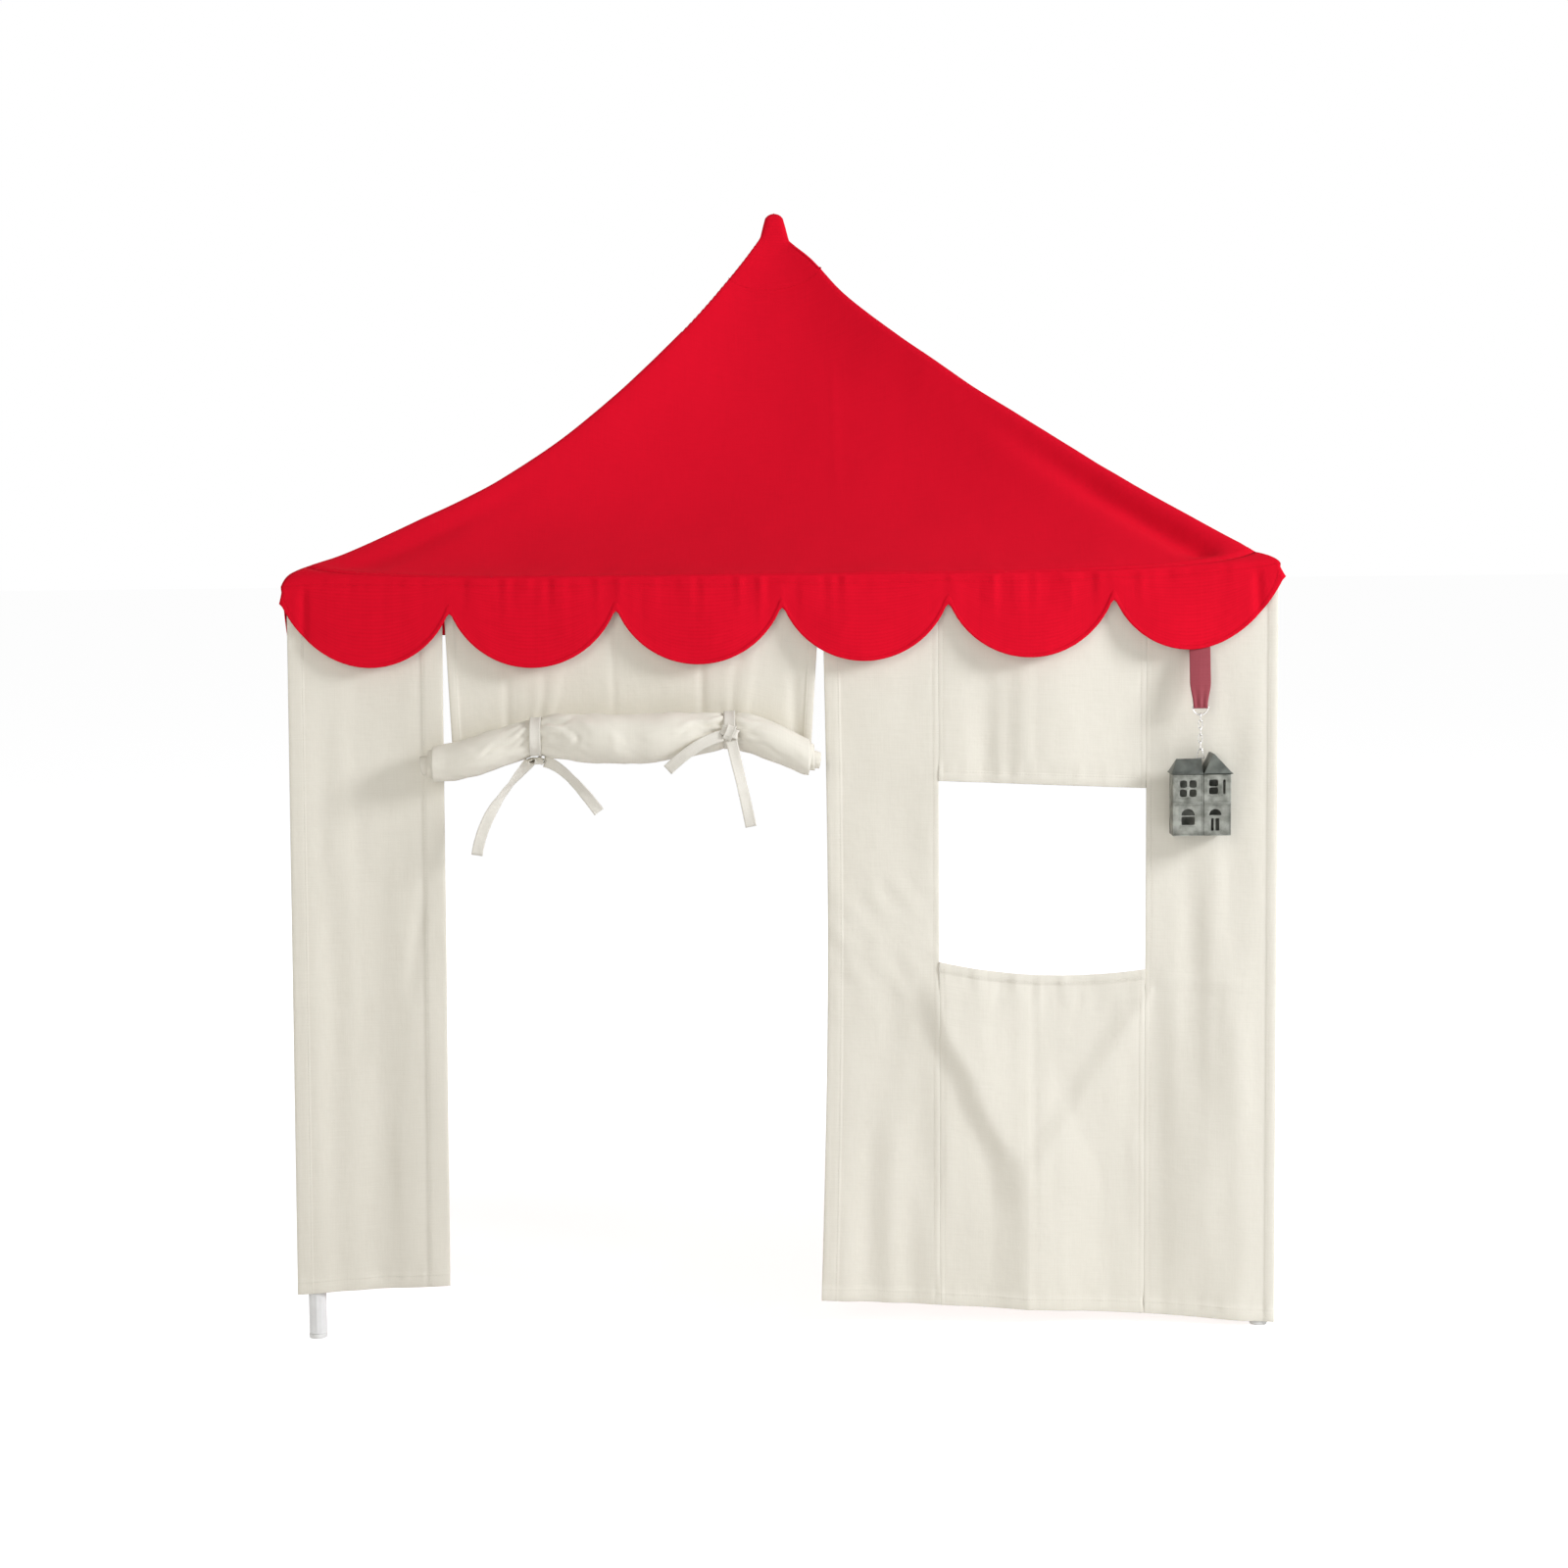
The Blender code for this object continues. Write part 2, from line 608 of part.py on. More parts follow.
def valance_out(half_out, flare, share, height):
    """How far out the valance hangs, at a share along it and a height."""
    to_corner = abs(share) ** TIP_POWER
    below = valance_shoulder(share) - height
    stands_out = flare * below / (LEFT_CUSP_DROP + SCALLOP_DEPTH) - SHOULDER_INSET
    return half_out + stands_out * (1 - to_corner)


def valance_shoulder(share):
    return eave_height(share) - SHOULDER_DROP - SHOULDER_CORNER_DROP * abs(share) ** TIP_POWER


def valance(side, scallops, half_along, half_out, seam_along, seam_out, flare):
    columns = scallops * SCALLOP_COLUMNS

    def place(column, row):
        share = column / columns * 2 - 1
        limit = half_along - CORNER_CLEARANCE
        if row == VALANCE_ROWS:
            drawn = seam_shape(share, 1)
            inner = (seam_along - CORNER_CLEARANCE) * share * drawn
            return on_side(side, inner, seam_out * drawn, eave_height(share) - CLOTH - SEAM_GAP)
        to_right = on_side(side, limit * share, half_out, 0).x / WIDTH + 0.5
        points = EAVE_HEIGHT - mix(LEFT_CUSP_DROP, RIGHT_CUSP_DROP, to_right)
        low = points + TIP_LIFT * abs(share) ** TIP_POWER - scallop_drop(column)
        height = mix(low, valance_shoulder(share), row / (VALANCE_ROWS - 1))
        return on_side(side, limit * share, valance_out(half_out, flare, share, height), height)

    sheet("valance_" + side, columns, VALANCE_ROWS, place, CLOTH, RED_COTTON)


def build_valances():
    half_x, half_y = WIDTH / 2, DEPTH / 2
    for side in ("front", "rear"):
        flare = FRONT_FLARE if side == "front" else SIDE_FLARE
        valance(side, FRONT_SCALLOPS, half_x, half_y, SEAM_X, SEAM_Y, flare)
    for side in ("left", "right"):
        valance(side, SIDE_SCALLOPS, half_y, half_x, SEAM_Y, SEAM_X, SIDE_FLARE)


# Walls: cloths that hang from the rails by sleeves

def fold(along, start, end, count, depth):
    """How far in the cloth's soft folds lie, at a place between start and end."""
    share = (along - start) / (end - start)
    if not 0 < share < 1:
        return 0
    return depth * (1 - math.cos(2 * math.pi * count * share)) / 2


def hanging_cloth(name, side, left, right, hem, folds, columns, drop_rows=DROP_ROWS, top=None):
    """A wall cloth. left, right and hem are functions of height or place; folds is (start, end,
    count, depth). Without a top height it goes over the rail in a sleeve."""
    rail_out = POST_Y if side in ("front", "rear") else POST_X
    post = POST_X if side in ("front", "rear") else POST_Y

    def place(column, row):
        share = column / columns
        over = row - drop_rows
        if over <= 0:
            low = hem(share)
            high = RAIL_HEIGHT if top is None else top(share)
            height = mix(low, high, row / drop_rows)
            along = mix(left(height), right(height), share)
            hang = 1 - (height / RAIL_HEIGHT) ** FOLD_POWER
            inward = fold(along, *folds) * hang
            return on_side(side, along, rail_out + SLEEVE_R - inward, height)
        limit = post - SLEEVE_R - CORNER_CLEARANCE if over <= SLEEVE_STEPS / 2 else post - SLEEVE_NOTCH
        ends = [max(-limit, min(limit, edge(RAIL_HEIGHT))) for edge in (left, right)]
        along = mix(*ends, share)
        if over <= SLEEVE_STEPS:
            angle = math.pi * over / SLEEVE_STEPS
            out = rail_out + SLEEVE_R * math.cos(angle)
            return on_side(side, along, out, RAIL_HEIGHT + SLEEVE_R * math.sin(angle))
        return on_side(side, along, rail_out - SLEEVE_R, RAIL_HEIGHT - SLEEVE_TAIL)

    rows = drop_rows if top is not None else drop_rows + SLEEVE_STEPS + 1
    sheet(name, columns, rows, place, CLOTH, CREAM_COTTON)


def straight(value):
    return lambda _: value


def doorway_left(height):
    return DOORWAY_LEFT - DOORWAY_LEAN * max(0, 1 - height / RAIL_HEIGHT)


def doorway_right(height):
    bow = DOORWAY_BOW * math.sin(math.pi * min(1, height / RAIL_HEIGHT))
    return DOORWAY_RIGHT + bow - DOORWAY_LEAN * max(0, 1 - height / RAIL_HEIGHT)


def right_hem(start, end):
    """The right wall's hem, which hangs lower towards the corner."""
    def height(share):
        along = mix(start, end, share)
        return mix(RIGHT_HEM_INNER, RIGHT_HEM_OUTER, (along - DOORWAY_RIGHT) / (WALL_X - DOORWAY_RIGHT))
    return height


def window_head(share):
    return WINDOW_TOP - WINDOW_TILT * share


def window_sill(share):
    return window_head(share) - WINDOW_HEIGHT - WINDOW_SAG * (1 - (2 * share - 1) ** 2)


def build_walls():
    behind_post = POST_X - 2 * TUBE_R
    hanging_cloth(
        "front_left_panel", "front", straight(-WALL_X), doorway_left,
        lambda share: mix(LEFT_HEM_OUTER, LEFT_HEM_INNER, share),
        (-behind_post, DOORWAY_LEFT, 2, FRONT_FOLD), 9,
    )
    seam_left, seam_right = WINDOW_LEFT - SEAM_GAP / 2, WINDOW_RIGHT - SEAM_GAP / 2
    hanging_cloth(
        "window_left_strip", "front", doorway_right, straight(seam_left),
        right_hem(DOORWAY_RIGHT, seam_left), (DOORWAY_RIGHT, WINDOW_LEFT, 1, FRONT_FOLD), 6,
    )
    hanging_cloth(
        "window_header", "front", straight(seam_left + SEAM_GAP), straight(seam_right),
        window_head, (WINDOW_LEFT, WINDOW_RIGHT, 2, FRONT_FOLD), 8, 3,
    )
    hanging_cloth(
        "window_apron", "front", straight(seam_left + SEAM_GAP), straight(seam_right),
        right_hem(seam_left, seam_right), (WINDOW_LEFT, WINDOW_RIGHT, 2, APRON_FOLD), 10, 5,
        window_sill,
    )
    hanging_cloth(
        "window_right_strip", "front", straight(seam_right + SEAM_GAP), straight(WALL_X),
        right_hem(seam_right, WALL_X), (WINDOW_RIGHT, behind_post, 1, CORNER_FOLD), 7,
    )
    side_half = WALL_Y - CORNER_CLEARANCE
    for side, hem in (("left", LEFT_SIDE_HEM), ("right", RIGHT_SIDE_HEM)):
        hanging_cloth(
            "side_wall_" + side, side, straight(-side_half), straight(side_half),
            straight(hem), (2 * TUBE_R - POST_Y, POST_Y - 2 * TUBE_R, 3, SIDE_FOLD), 12,
        )


# Door: its header on the rail, the cloth below it, the roll, and the ties

def build_door():
    header_low = RAIL_HEIGHT - DOOR_HEADER_DROP
    left, right = DOORWAY_LEFT + DOOR_LEFT_GAP, DOORWAY_RIGHT - DOOR_RIGHT_GAP
    hanging_cloth(
        "door_header", "front", straight(left), straight(right),
        straight(header_low), (left, right, DOOR_FOLDS, 0), 4, 1,
    )

    def place(column, row):
        share, down = column / DOOR_COLUMNS, 1 - row / DOOR_ROWS
        along = mix(left + DOOR_LEFT_TAPER * down, right - DOOR_RIGHT_TAPER * down, share)
        out = WALL_Y - fold(share, 0, 1, DOOR_FOLDS, DOOR_FOLD) * down
        low = ROLL_LOW + ROLL_RISE - DOOR_TUCK
        return on_side("front", along, out, mix(header_low - SEAM_GAP, low, down))

    sheet("door_panel", DOOR_COLUMNS, DOOR_ROWS, place, CLOTH, CREAM_COTTON)


def roll_place(shares):
    """The roll's centre and radius at a place of its route."""
    along, up, width = shares
    radius = ROLL_R * width
    x, height = mix(ROLL_LEFT, ROLL_RIGHT, along), ROLL_LOW + ROLL_RISE * up
    return on_side("front", x, ROLL_BACK + radius, height), radius


def build_roll():
    roll = bpy.data.curves.new("door_roll", "CURVE")
    roll.dimensions = "3D"
    line = roll.splines.new("POLY")
    route = smooth(ROLL_ROUTE_SHARES, ROLL_STEPS)
    line.points.add(len(route) - 1)
    for point, shares in zip(line.points, route):
        point.co = (*roll_place(shares)[0], 1)
        point.radius = shares[2]
    roll.bevel_depth = ROLL_R
    roll.bevel_resolution = 4
    roll.use_fill_caps = True
    add("door_roll", roll, CREAM_COTTON)


def smooth(places, steps):
    """Places along a smooth curve through the given ones, that many steps from each to the next."""
    places = [Vector(place) for place in places]
    ends = [2 * places[0] - places[1], *places, 2 * places[-1] - places[-2]]
    made = []
    for before, start, end, after in zip(ends, ends[1:], ends[2:], ends[3:]):
        for step in range(steps):
            t = step / steps
            bend = (2 * before - 5 * start + 4 * end - after) * t**2
            bend += (3 * start - before - 3 * end + after) * t**3
            made.append(start + ((end - before) * t + bend) / 2)
    return [*made, places[-1]]


def band(name, points, acrosses):
    """A flat tape along points, its width lying along the direction given for each."""
    def place(column, row):
        return Vector(points[row]) + acrosses[row] * TAPE_WIDTH * (column - 0.5)

    return sheet(name, 1, len(points) - 1, place, TAPE, COTTON_TAPE, 0)


def tie_loop(name, centre, radius):
    """From the door cloth's front, over the roll and under it, then up behind the door cloth."""
    round_roll = radius + TIE_SLACK + TAPE / 2
    points = []
    for step in range(TIE_STEPS + 1):
        angle = mix(TIE_START, TIE_END, step / TIE_STEPS)
        points.append(centre + round_roll * Vector((0, math.cos(angle), math.sin(angle))))
    back = -(WALL_Y - CLOTH - DOOR_FOLD - TIE_SLACK - TAPE)
    for out, down in TIE_BACK_SHARES:
        points.append(Vector((centre.x, back - round_roll * out, centre.z - round_roll * down)))
    points.append(Vector((centre.x, back, centre.z + radius + TIE_RISE)))
    band(name, points, [Vector((1, 0, 0))] * len(points))


def bezier(ends, steps):
    """Points along the curve that four control points shape."""
    a, b, c, d = ends
    points = []
    for step in range(steps + 1):
        t = step / steps
        points.append(a * (1 - t) ** 3 + b * 3 * t * (1 - t) ** 2 + c * 3 * t**2 * (1 - t) + d * t**3)
    return points


def tail(name, knot, size, length, shares):
    """A tape's free end, which starts at a knot's edge and goes on by the places that shape it."""
    across = ROLL_RIGHT - ROLL_LEFT
    ends = [knot + Vector((across * x, -length * out, -length * down)) for x, out, down in shares]
    heading = (ends[0] - knot).normalized()
    reach = KNOT_ROUNDING + SEAM_GAP
    for share, width in zip(heading, size):
        reach += abs(share) * (width / 2 - KNOT_ROUNDING)
    points = bezier([knot + heading * reach, *ends], TAIL_STEPS)
    acrosses = [heading.cross((0, 1, 0)).normalized()]
    for before, after in zip(points, [*points[2:], points[-1]]):
        acrosses.append((after - before).cross((0, 1, 0)).normalized())
    band(name, points, acrosses)


def tie_knot(name, middle, size):
    knot = add(name, box_mesh(middle - size / 2, middle + size / 2), COTTON_TAPE)
    rounded = knot.modifiers.new("rounded", "BEVEL")
    rounded.width = KNOT_ROUNDING
    rounded.segments = 2


def build_left_tie():
    """Its knot is under the roll."""
    centre, radius = roll_place(ROLL_ROUTE_SHARES[LEFT_TIE_PLACE])
    tie_loop("tie_loop_left", centre, radius)
    under = radius + TIE_SLACK + TAPE + SEAM_GAP + KNOT_THICKNESS / 2
    knot, size = centre - Vector((0, 0, under)), Vector((KNOT, KNOT, KNOT_THICKNESS))
    tie_knot("tie_knot_left", knot, size)
    tail("tie_tail_left_long", knot, size, LEFT_LONG_TAIL, LEFT_LONG_SHARES)
    tail("tie_tail_left_short", knot, size, LEFT_SHORT_TAIL, LEFT_SHORT_SHARES)


def build_right_tie():
    """Its knot is on the roll's front."""
    centre, radius = roll_place(ROLL_ROUTE_SHARES[RIGHT_TIE_PLACE])
    tie_loop("tie_loop_right", centre, radius)
    before = radius + TIE_SLACK + TAPE + SEAM_GAP + KNOT_THICKNESS / 2
    knot, size = centre - Vector((0, before, 0)), Vector((KNOT, KNOT_THICKNESS, KNOT))
    tie_knot("tie_knot_right", knot, size)
    tail("tie_tail_right_front", knot, size, RIGHT_FRONT_TAIL, RIGHT_FRONT_SHARES)
    tail("tie_tail_right_low", knot, size, RIGHT_LOW_TAIL, RIGHT_LOW_SHARES)


# Pendant: a ribbon sewn behind the valance, a D-ring, a chain and a little house

def build_ribbon():
    """One strip, doubled through the D-ring: down the front, round the ring's bar, up the back."""
    loop_r = RING_WIRE_R + FIT + RIBBON_CLOTH
    outer_share = (PENDANT_X + RIBBON_WIDTH / 2) / (WIDTH / 2)
    section = []
    for step in range(RIBBON_STEPS + 1):
        height = mix(RIBBON_TOP, RING_BAR_HEIGHT + RIBBON_TAPER / 2, step / RIBBON_STEPS)
        valance_front = valance_out(DEPTH / 2, FRONT_FLARE, outer_share, height)
        section.append((min(PENDANT_OUT + loop_r, valance_front - CLOTH - 2 * FIT), height))
    doubled = list(reversed(section))
    for out, height in arc(loop_r, 0, -math.pi, RIBBON_STEPS):
        section.append((PENDANT_OUT + out, RING_BAR_HEIGHT + height))
    for front, height in doubled:
        closing = min(1, (height - RING_BAR_HEIGHT) / RIBBON_TAPER)
        section.append((front - mix(2 * loop_r, 2 * RIBBON_CLOTH + SEAM_GAP, closing), height))

    def place(column, row):
        out, height = section[row]
        taper = min(1, max(0, (height - RING_BAR_HEIGHT) / RIBBON_TAPER))
        half = mix(RIBBON_TIP_WIDTH, RIBBON_WIDTH, taper) / 2
        return on_side("front", PENDANT_X + half * (1 - column), out, height)

    sheet("ribbon", 2, len(section) - 1, place, RIBBON_CLOTH, MAROON_RIBBON)


def arc(radius, start, end, steps):
    """Across and up, along a round bend from one angle to another."""
    points = []
    for step in range(steps + 1):
        angle = mix(start, end, step / steps)
        points.append((radius * math.cos(angle), radius * math.sin(angle)))
    return points


def build_chain():
    """The D-ring and the links, each hooked through the last. Returns the last wire's height."""
    ring = wire_ring("d_ring", [(x, 0, z) for x, z in arc(RING_R, 0, -math.pi, 12)], RING_WIRE_R)
    ring.location = (PENDANT_X, -PENDANT_OUT, RING_BAR_HEIGHT)
    held = RING_BAR_HEIGHT - RING_R
    above_r = RING_WIRE_R
    for number in range(1, LINK_COUNT + 1):
        top = above_r + LINK_WIRE_R + LINK_GAP
        outline = [(across, top - LINK_R + up) for across, up in arc(LINK_R, 0, math.pi, 6)]
        for across, up in arc(LINK_R, math.pi, 2 * math.pi, 6):
            outline.append((across, top - LINK_LENGTH + LINK_R + up))
        points = [(across, 0, up) for across, up in outline]
        if number % 2:
            points = [(0, across, up) for across, up in outline]
        link = wire_ring("chain_link_" + str(number), points, LINK_WIRE_R)
        link.location = (PENDANT_X, -PENDANT_OUT, held)
        held += top - LINK_LENGTH
        above_r = LINK_WIRE_R
    return held


def build_eye(pivot, top, ridge):
    """A bent wire that stands on the left roof's ridge."""
    foot = ridge + LINK_WIRE_R + BUTT_GAP
    points = [(across, 0, top - LINK_R + up) for across, up in arc(LINK_R, 0, math.pi, 4)]
    points += [(-EYE_HALF_WIDTH, 0, foot), (0, 0, foot), (EYE_HALF_WIDTH, 0, foot)]
    wire_ring("house_eye", points, LINK_WIRE_R, pivot)


def window_cutter(x, low, width, height):
    front = -HOUSE_DEPTH / 2
    near, far = front - CUT, front + HOUSE_SHEET + CUT
    return helper(box_mesh((x - width / 2, near, low), (x + width / 2, far, low + height)))


def wing(name, pivot, left, width, floor, cuts):
    """A sheet-metal box, open below, with windows cut through its front and a ledge round it."""
    half, top = HOUSE_DEPTH / 2, floor + HOUSE_HEIGHT
    shell = helper(box_mesh((left, -half, floor), (left + width, half, top)))
    inner = helper(
        box_mesh(
            (left + HOUSE_SHEET, HOUSE_SHEET - half, floor - CUT),
            (left + width - HOUSE_SHEET, half - HOUSE_SHEET, top - HOUSE_SHEET),
        )
    )
    panes = [window_cutter(left + x, floor + low, wide, high) for x, low, wide, high in cuts]
    box = helper(combine(shell, [inner, *panes], "DIFFERENCE"))
    level = floor + LEDGE_LEVEL
    ledge = helper(
        box_mesh(
            (left + LEDGE_INSET, -half - LEDGE, level - LEDGE_HEIGHT / 2),
            (left + width - LEDGE_INSET, HOUSE_SHEET / 2 - half, level + LEDGE_HEIGHT / 2),
        )
    )
    add(name, combine(box, [ledge], "UNION"), ZINC, pivot)


def drawn_block(low, high, ridge_start, ridge_end):
    """A block whose upper corners are drawn together to a ridge."""
    mesh = box_mesh(low, high)
    block = bmesh.new()
    block.from_mesh(mesh)
    top = max(corner.co.z for corner in block.verts)
    middle = (low[0] + high[0]) / 2
    for corner in block.verts:
        if corner.co.z == top:
            corner.co.x = ridge_end[0] if corner.co.x > middle else ridge_start[0]
            corner.co.y = ridge_end[1] if corner.co.y > 0 else ridge_start[1]
    block.to_mesh(mesh)
    block.free()
    return helper(mesh)


def add_roof(name, pivot, low, high, ridge_start, ridge_end):
    """A sheet-metal roof, open below."""
    shell = drawn_block(low, high, ridge_start, ridge_end)
    start_x, end_x = ridge_start[0], ridge_end[0]
    inner = drawn_block(
        (low[0] + ROOF_SHEET, low[1] + ROOF_SHEET, low[2] - CUT),
        (high[0] - ROOF_SHEET, high[1] - ROOF_SHEET, high[2] - 2 * ROOF_SHEET),
        (max(start_x, low[0] + ROOF_SHEET), min(-HOUSE_SHEET / 2, ridge_start[1] + ROOF_SHEET)),
        (min(end_x, high[0] - ROOF_SHEET), max(HOUSE_SHEET / 2, ridge_end[1] - ROOF_SHEET)),
    )
    add(name, combine(shell, [inner], "DIFFERENCE"), ZINC, pivot)


def build_roofs(pivot, left, right, eaves, ridge):
    """A hipped roof over the left wing and a gable over the right one."""
    half = HOUSE_DEPTH / 2 + ROOF_OVERHANG
    base = eaves + BUTT_GAP
    start, end = left - ROOF_OVERHANG, right - WING_GAP
    ridge_start = (start + end - LEFT_WING_WIDTH * RIDGE_SHARE) / 2
    add_roof(
        "house_left_roof", pivot, (start, -half, base), (end, half, ridge),
        (ridge_start, -HOUSE_SHEET), (end, HOUSE_SHEET),
    )
    peak = right + RIGHT_WING_WIDTH * GABLE_PEAK_SHARE
    gable_end = right + RIGHT_WING_WIDTH + ROOF_OVERHANG
    add_roof(
        "house_right_roof", pivot, (right, -half, base), (gable_end, half, eaves + GABLE_RISE),
        (peak - HOUSE_SHEET, -half), (peak + HOUSE_SHEET, half),
    )


def build_house(held):
    """Two wings and their roofs, which swing from the last link."""
    pivot = bpy.data.objects.new("house_pivot", None)
    pivot.parent = footprint
    pivot.location = (PENDANT_X, -PENDANT_OUT, held)
    tent.objects.link(pivot)
    eye_top = 2 * LINK_WIRE_R + LINK_GAP
    ridge = eye_top - EYE_HEIGHT
    eaves = ridge - RIDGE_RISE
    floor = eaves - HOUSE_HEIGHT
    left = -(LEFT_WING_WIDTH + WING_GAP + RIGHT_WING_WIDTH) / 2
    right = left + LEFT_WING_WIDTH + WING_GAP
    middle, pitch = LEFT_WING_WIDTH / 2, PANE + PANE_BAR
    panes = [(middle, LOWER_SILL, ARCH_WIDTH, ARCH_HEIGHT)]
    for column in (0, 1):
        for row in (0, 1):
            x = middle + pitch * column - pitch / 2
            panes.append((x, UPPER_SILL - PANE_BAR + pitch * row, PANE, PANE))
    wing("house_left_wing", pivot, left, LEFT_WING_WIDTH, floor, panes)
    openings = [
        (RIGHT_WING_WIDTH * GABLE_PEAK_SHARE, UPPER_SILL, CASEMENT_WIDTH, CASEMENT_HEIGHT),
        (RIGHT_WING_WIDTH * SLOT_SHARE, UPPER_SILL, PANE_BAR, CASEMENT_HEIGHT),
        (RIGHT_WING_WIDTH / 2, LEDGE_HEIGHT, HOUSE_DOOR_WIDTH, HOUSE_DOOR_HEIGHT),
    ]
    wing("house_right_wing", pivot, right, RIGHT_WING_WIDTH, floor, openings)
    build_roofs(pivot, left, right, eaves, ridge)
    build_eye(pivot, eye_top, ridge)


build_frame()
build_king_post()
build_canopy()
build_valances()
build_walls()
build_door()
build_roll()
build_left_tie()
build_right_tie()
build_ribbon()
build_house(build_chain())
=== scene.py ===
import math

import bpy
import numpy as np
from mathutils import Matrix, Vector


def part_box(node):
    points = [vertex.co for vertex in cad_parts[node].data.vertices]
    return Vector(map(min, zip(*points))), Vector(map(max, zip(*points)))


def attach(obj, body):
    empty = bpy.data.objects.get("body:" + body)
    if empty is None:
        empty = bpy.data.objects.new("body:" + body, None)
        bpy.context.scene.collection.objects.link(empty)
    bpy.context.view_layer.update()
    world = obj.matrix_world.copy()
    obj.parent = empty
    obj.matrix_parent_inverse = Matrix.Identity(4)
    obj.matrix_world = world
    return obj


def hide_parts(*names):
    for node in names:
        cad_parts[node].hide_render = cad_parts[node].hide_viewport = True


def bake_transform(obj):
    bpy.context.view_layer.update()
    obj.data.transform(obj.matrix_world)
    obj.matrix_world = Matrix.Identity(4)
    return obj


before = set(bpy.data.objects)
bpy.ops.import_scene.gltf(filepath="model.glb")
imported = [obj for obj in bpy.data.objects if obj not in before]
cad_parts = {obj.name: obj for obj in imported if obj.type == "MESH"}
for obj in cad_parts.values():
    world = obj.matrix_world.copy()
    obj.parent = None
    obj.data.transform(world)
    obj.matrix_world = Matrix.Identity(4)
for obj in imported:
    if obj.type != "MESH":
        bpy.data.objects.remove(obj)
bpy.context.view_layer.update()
bpy.ops.object.select_all(action="DESELECT")

# Camera.
# It looks at the front, a little from the left and from above, as the photograph does.
# Its place comes from the peak, the canopy's tips and the hems.

SETBACK = 0.02275  # the tent's middle is this far behind the frame's origin
FRONT = -0.4  # the front of the canopy, from the tent's middle
TURN, DOWN, TILT = math.radians(-0.8), math.radians(5.7), math.radians(-0.6)
LENS, SENSOR, DISTANCE, CAMERA_HEIGHT = 66.87, 36, 3.5, 1.03

ahead = Vector((-math.sin(TURN), math.cos(TURN), 0))
sideways = Vector((math.cos(TURN), math.sin(TURN), 0))
looking = ahead * math.cos(DOWN) - Vector((0, 0, math.sin(DOWN)))
upwards = ahead * math.sin(DOWN) + Vector((0, 0, math.cos(DOWN)))
camera_data = bpy.data.cameras.new("camera")
camera_data.lens = LENS
camera_data.sensor_width = SENSOR
camera = bpy.data.objects.new("camera", camera_data)
bpy.context.scene.collection.objects.link(camera)
camera_right = sideways * math.cos(TILT) + upwards * math.sin(TILT)
camera_up = upwards * math.cos(TILT) - sideways * math.sin(TILT)
camera.matrix_world = Matrix((camera_right, camera_up, -looking)).transposed().to_4x4()
camera.location = Vector((0, SETBACK + FRONT, CAMERA_HEIGHT)) - DISTANCE * ahead
bpy.context.scene.camera = camera
bpy.context.scene.view_settings.view_transform = "Standard"


# Studio.
# A pale floor that keeps the tent's shadow, a large soft light high on the right, a weaker one
# on the left and one behind, in a white room.

LIGHTS = (  # name, place, height that it aims at, width, watts and colour
    ("key", (3.6, -1.9, 2.3), 0.7, 1.2, 122, (1, 1.02, 1.08)),
    ("fill", (-1.6, -4.2, 1.9), 0.7, 2.4, 36, (1, 0.965, 0.89)),
    ("back", (-0.8, 3.2, 2.6), 0.8, 2.2, 34, (1, 1, 1)),
)
ROOM_LEVEL, ROOM_SEEN = 0.40, 1.0  # its light on the tent, and as the camera sees it
FLOOR_SIZE, FLOOR_GREY, FLOOR_GLOW = 60, 0.9, 0.62

for name, place, aim_height, width, watts, colour in LIGHTS:
    lamp = bpy.data.lights.new(name, "AREA")
    lamp.color = colour
    lamp.shape = "DISK"
    lamp.size = width
    lamp.energy = watts
    light = bpy.data.objects.new(name, lamp)
    bpy.context.scene.collection.objects.link(light)
    light.location = place
    aim = Vector((0, 0, aim_height)) - Vector(place)
    light.rotation_euler = aim.to_track_quat("-Z", "Y").to_euler()


def feed(tree, node, inputs):
    """Sets a node's inputs. Each is a value or another node's output."""
    for name, value in inputs.items():
        if isinstance(value, bpy.types.NodeSocket):
            tree.links.new(value, node.inputs[name])
        else:
            node.inputs[name].default_value = value


def add_node(tree, kind, inputs, **settings):
    node = tree.nodes.new("ShaderNode" + kind)
    for name, value in settings.items():
        setattr(node, name, value)
    feed(tree, node, inputs)
    return node


def level(tree, hidden, seen):
    """One strength for what the camera sees directly, in metal or through glass, another for the rest."""
    path = add_node(tree, "LightPath", {})
    white = path.outputs["Is Camera Ray"]
    for ray in ("Is Glossy Ray", "Is Transmission Ray"):
        white = add_node(tree, "Math", {0: white, 1: path.outputs[ray]}, operation="MAXIMUM").outputs[0]
    between_levels = {"Value": white, "To Min": hidden, "To Max": seen}
    return add_node(tree, "MapRange", between_levels).outputs["Result"]


room = bpy.data.worlds.new("room")
bpy.context.scene.world = room
room.use_nodes = True
room_tree = room.node_tree
room_inputs = {"Color": (1, 1, 1, 1), "Strength": level(room_tree, ROOM_LEVEL, ROOM_SEEN)}
feed(room_tree, room_tree.nodes["Background"], room_inputs)

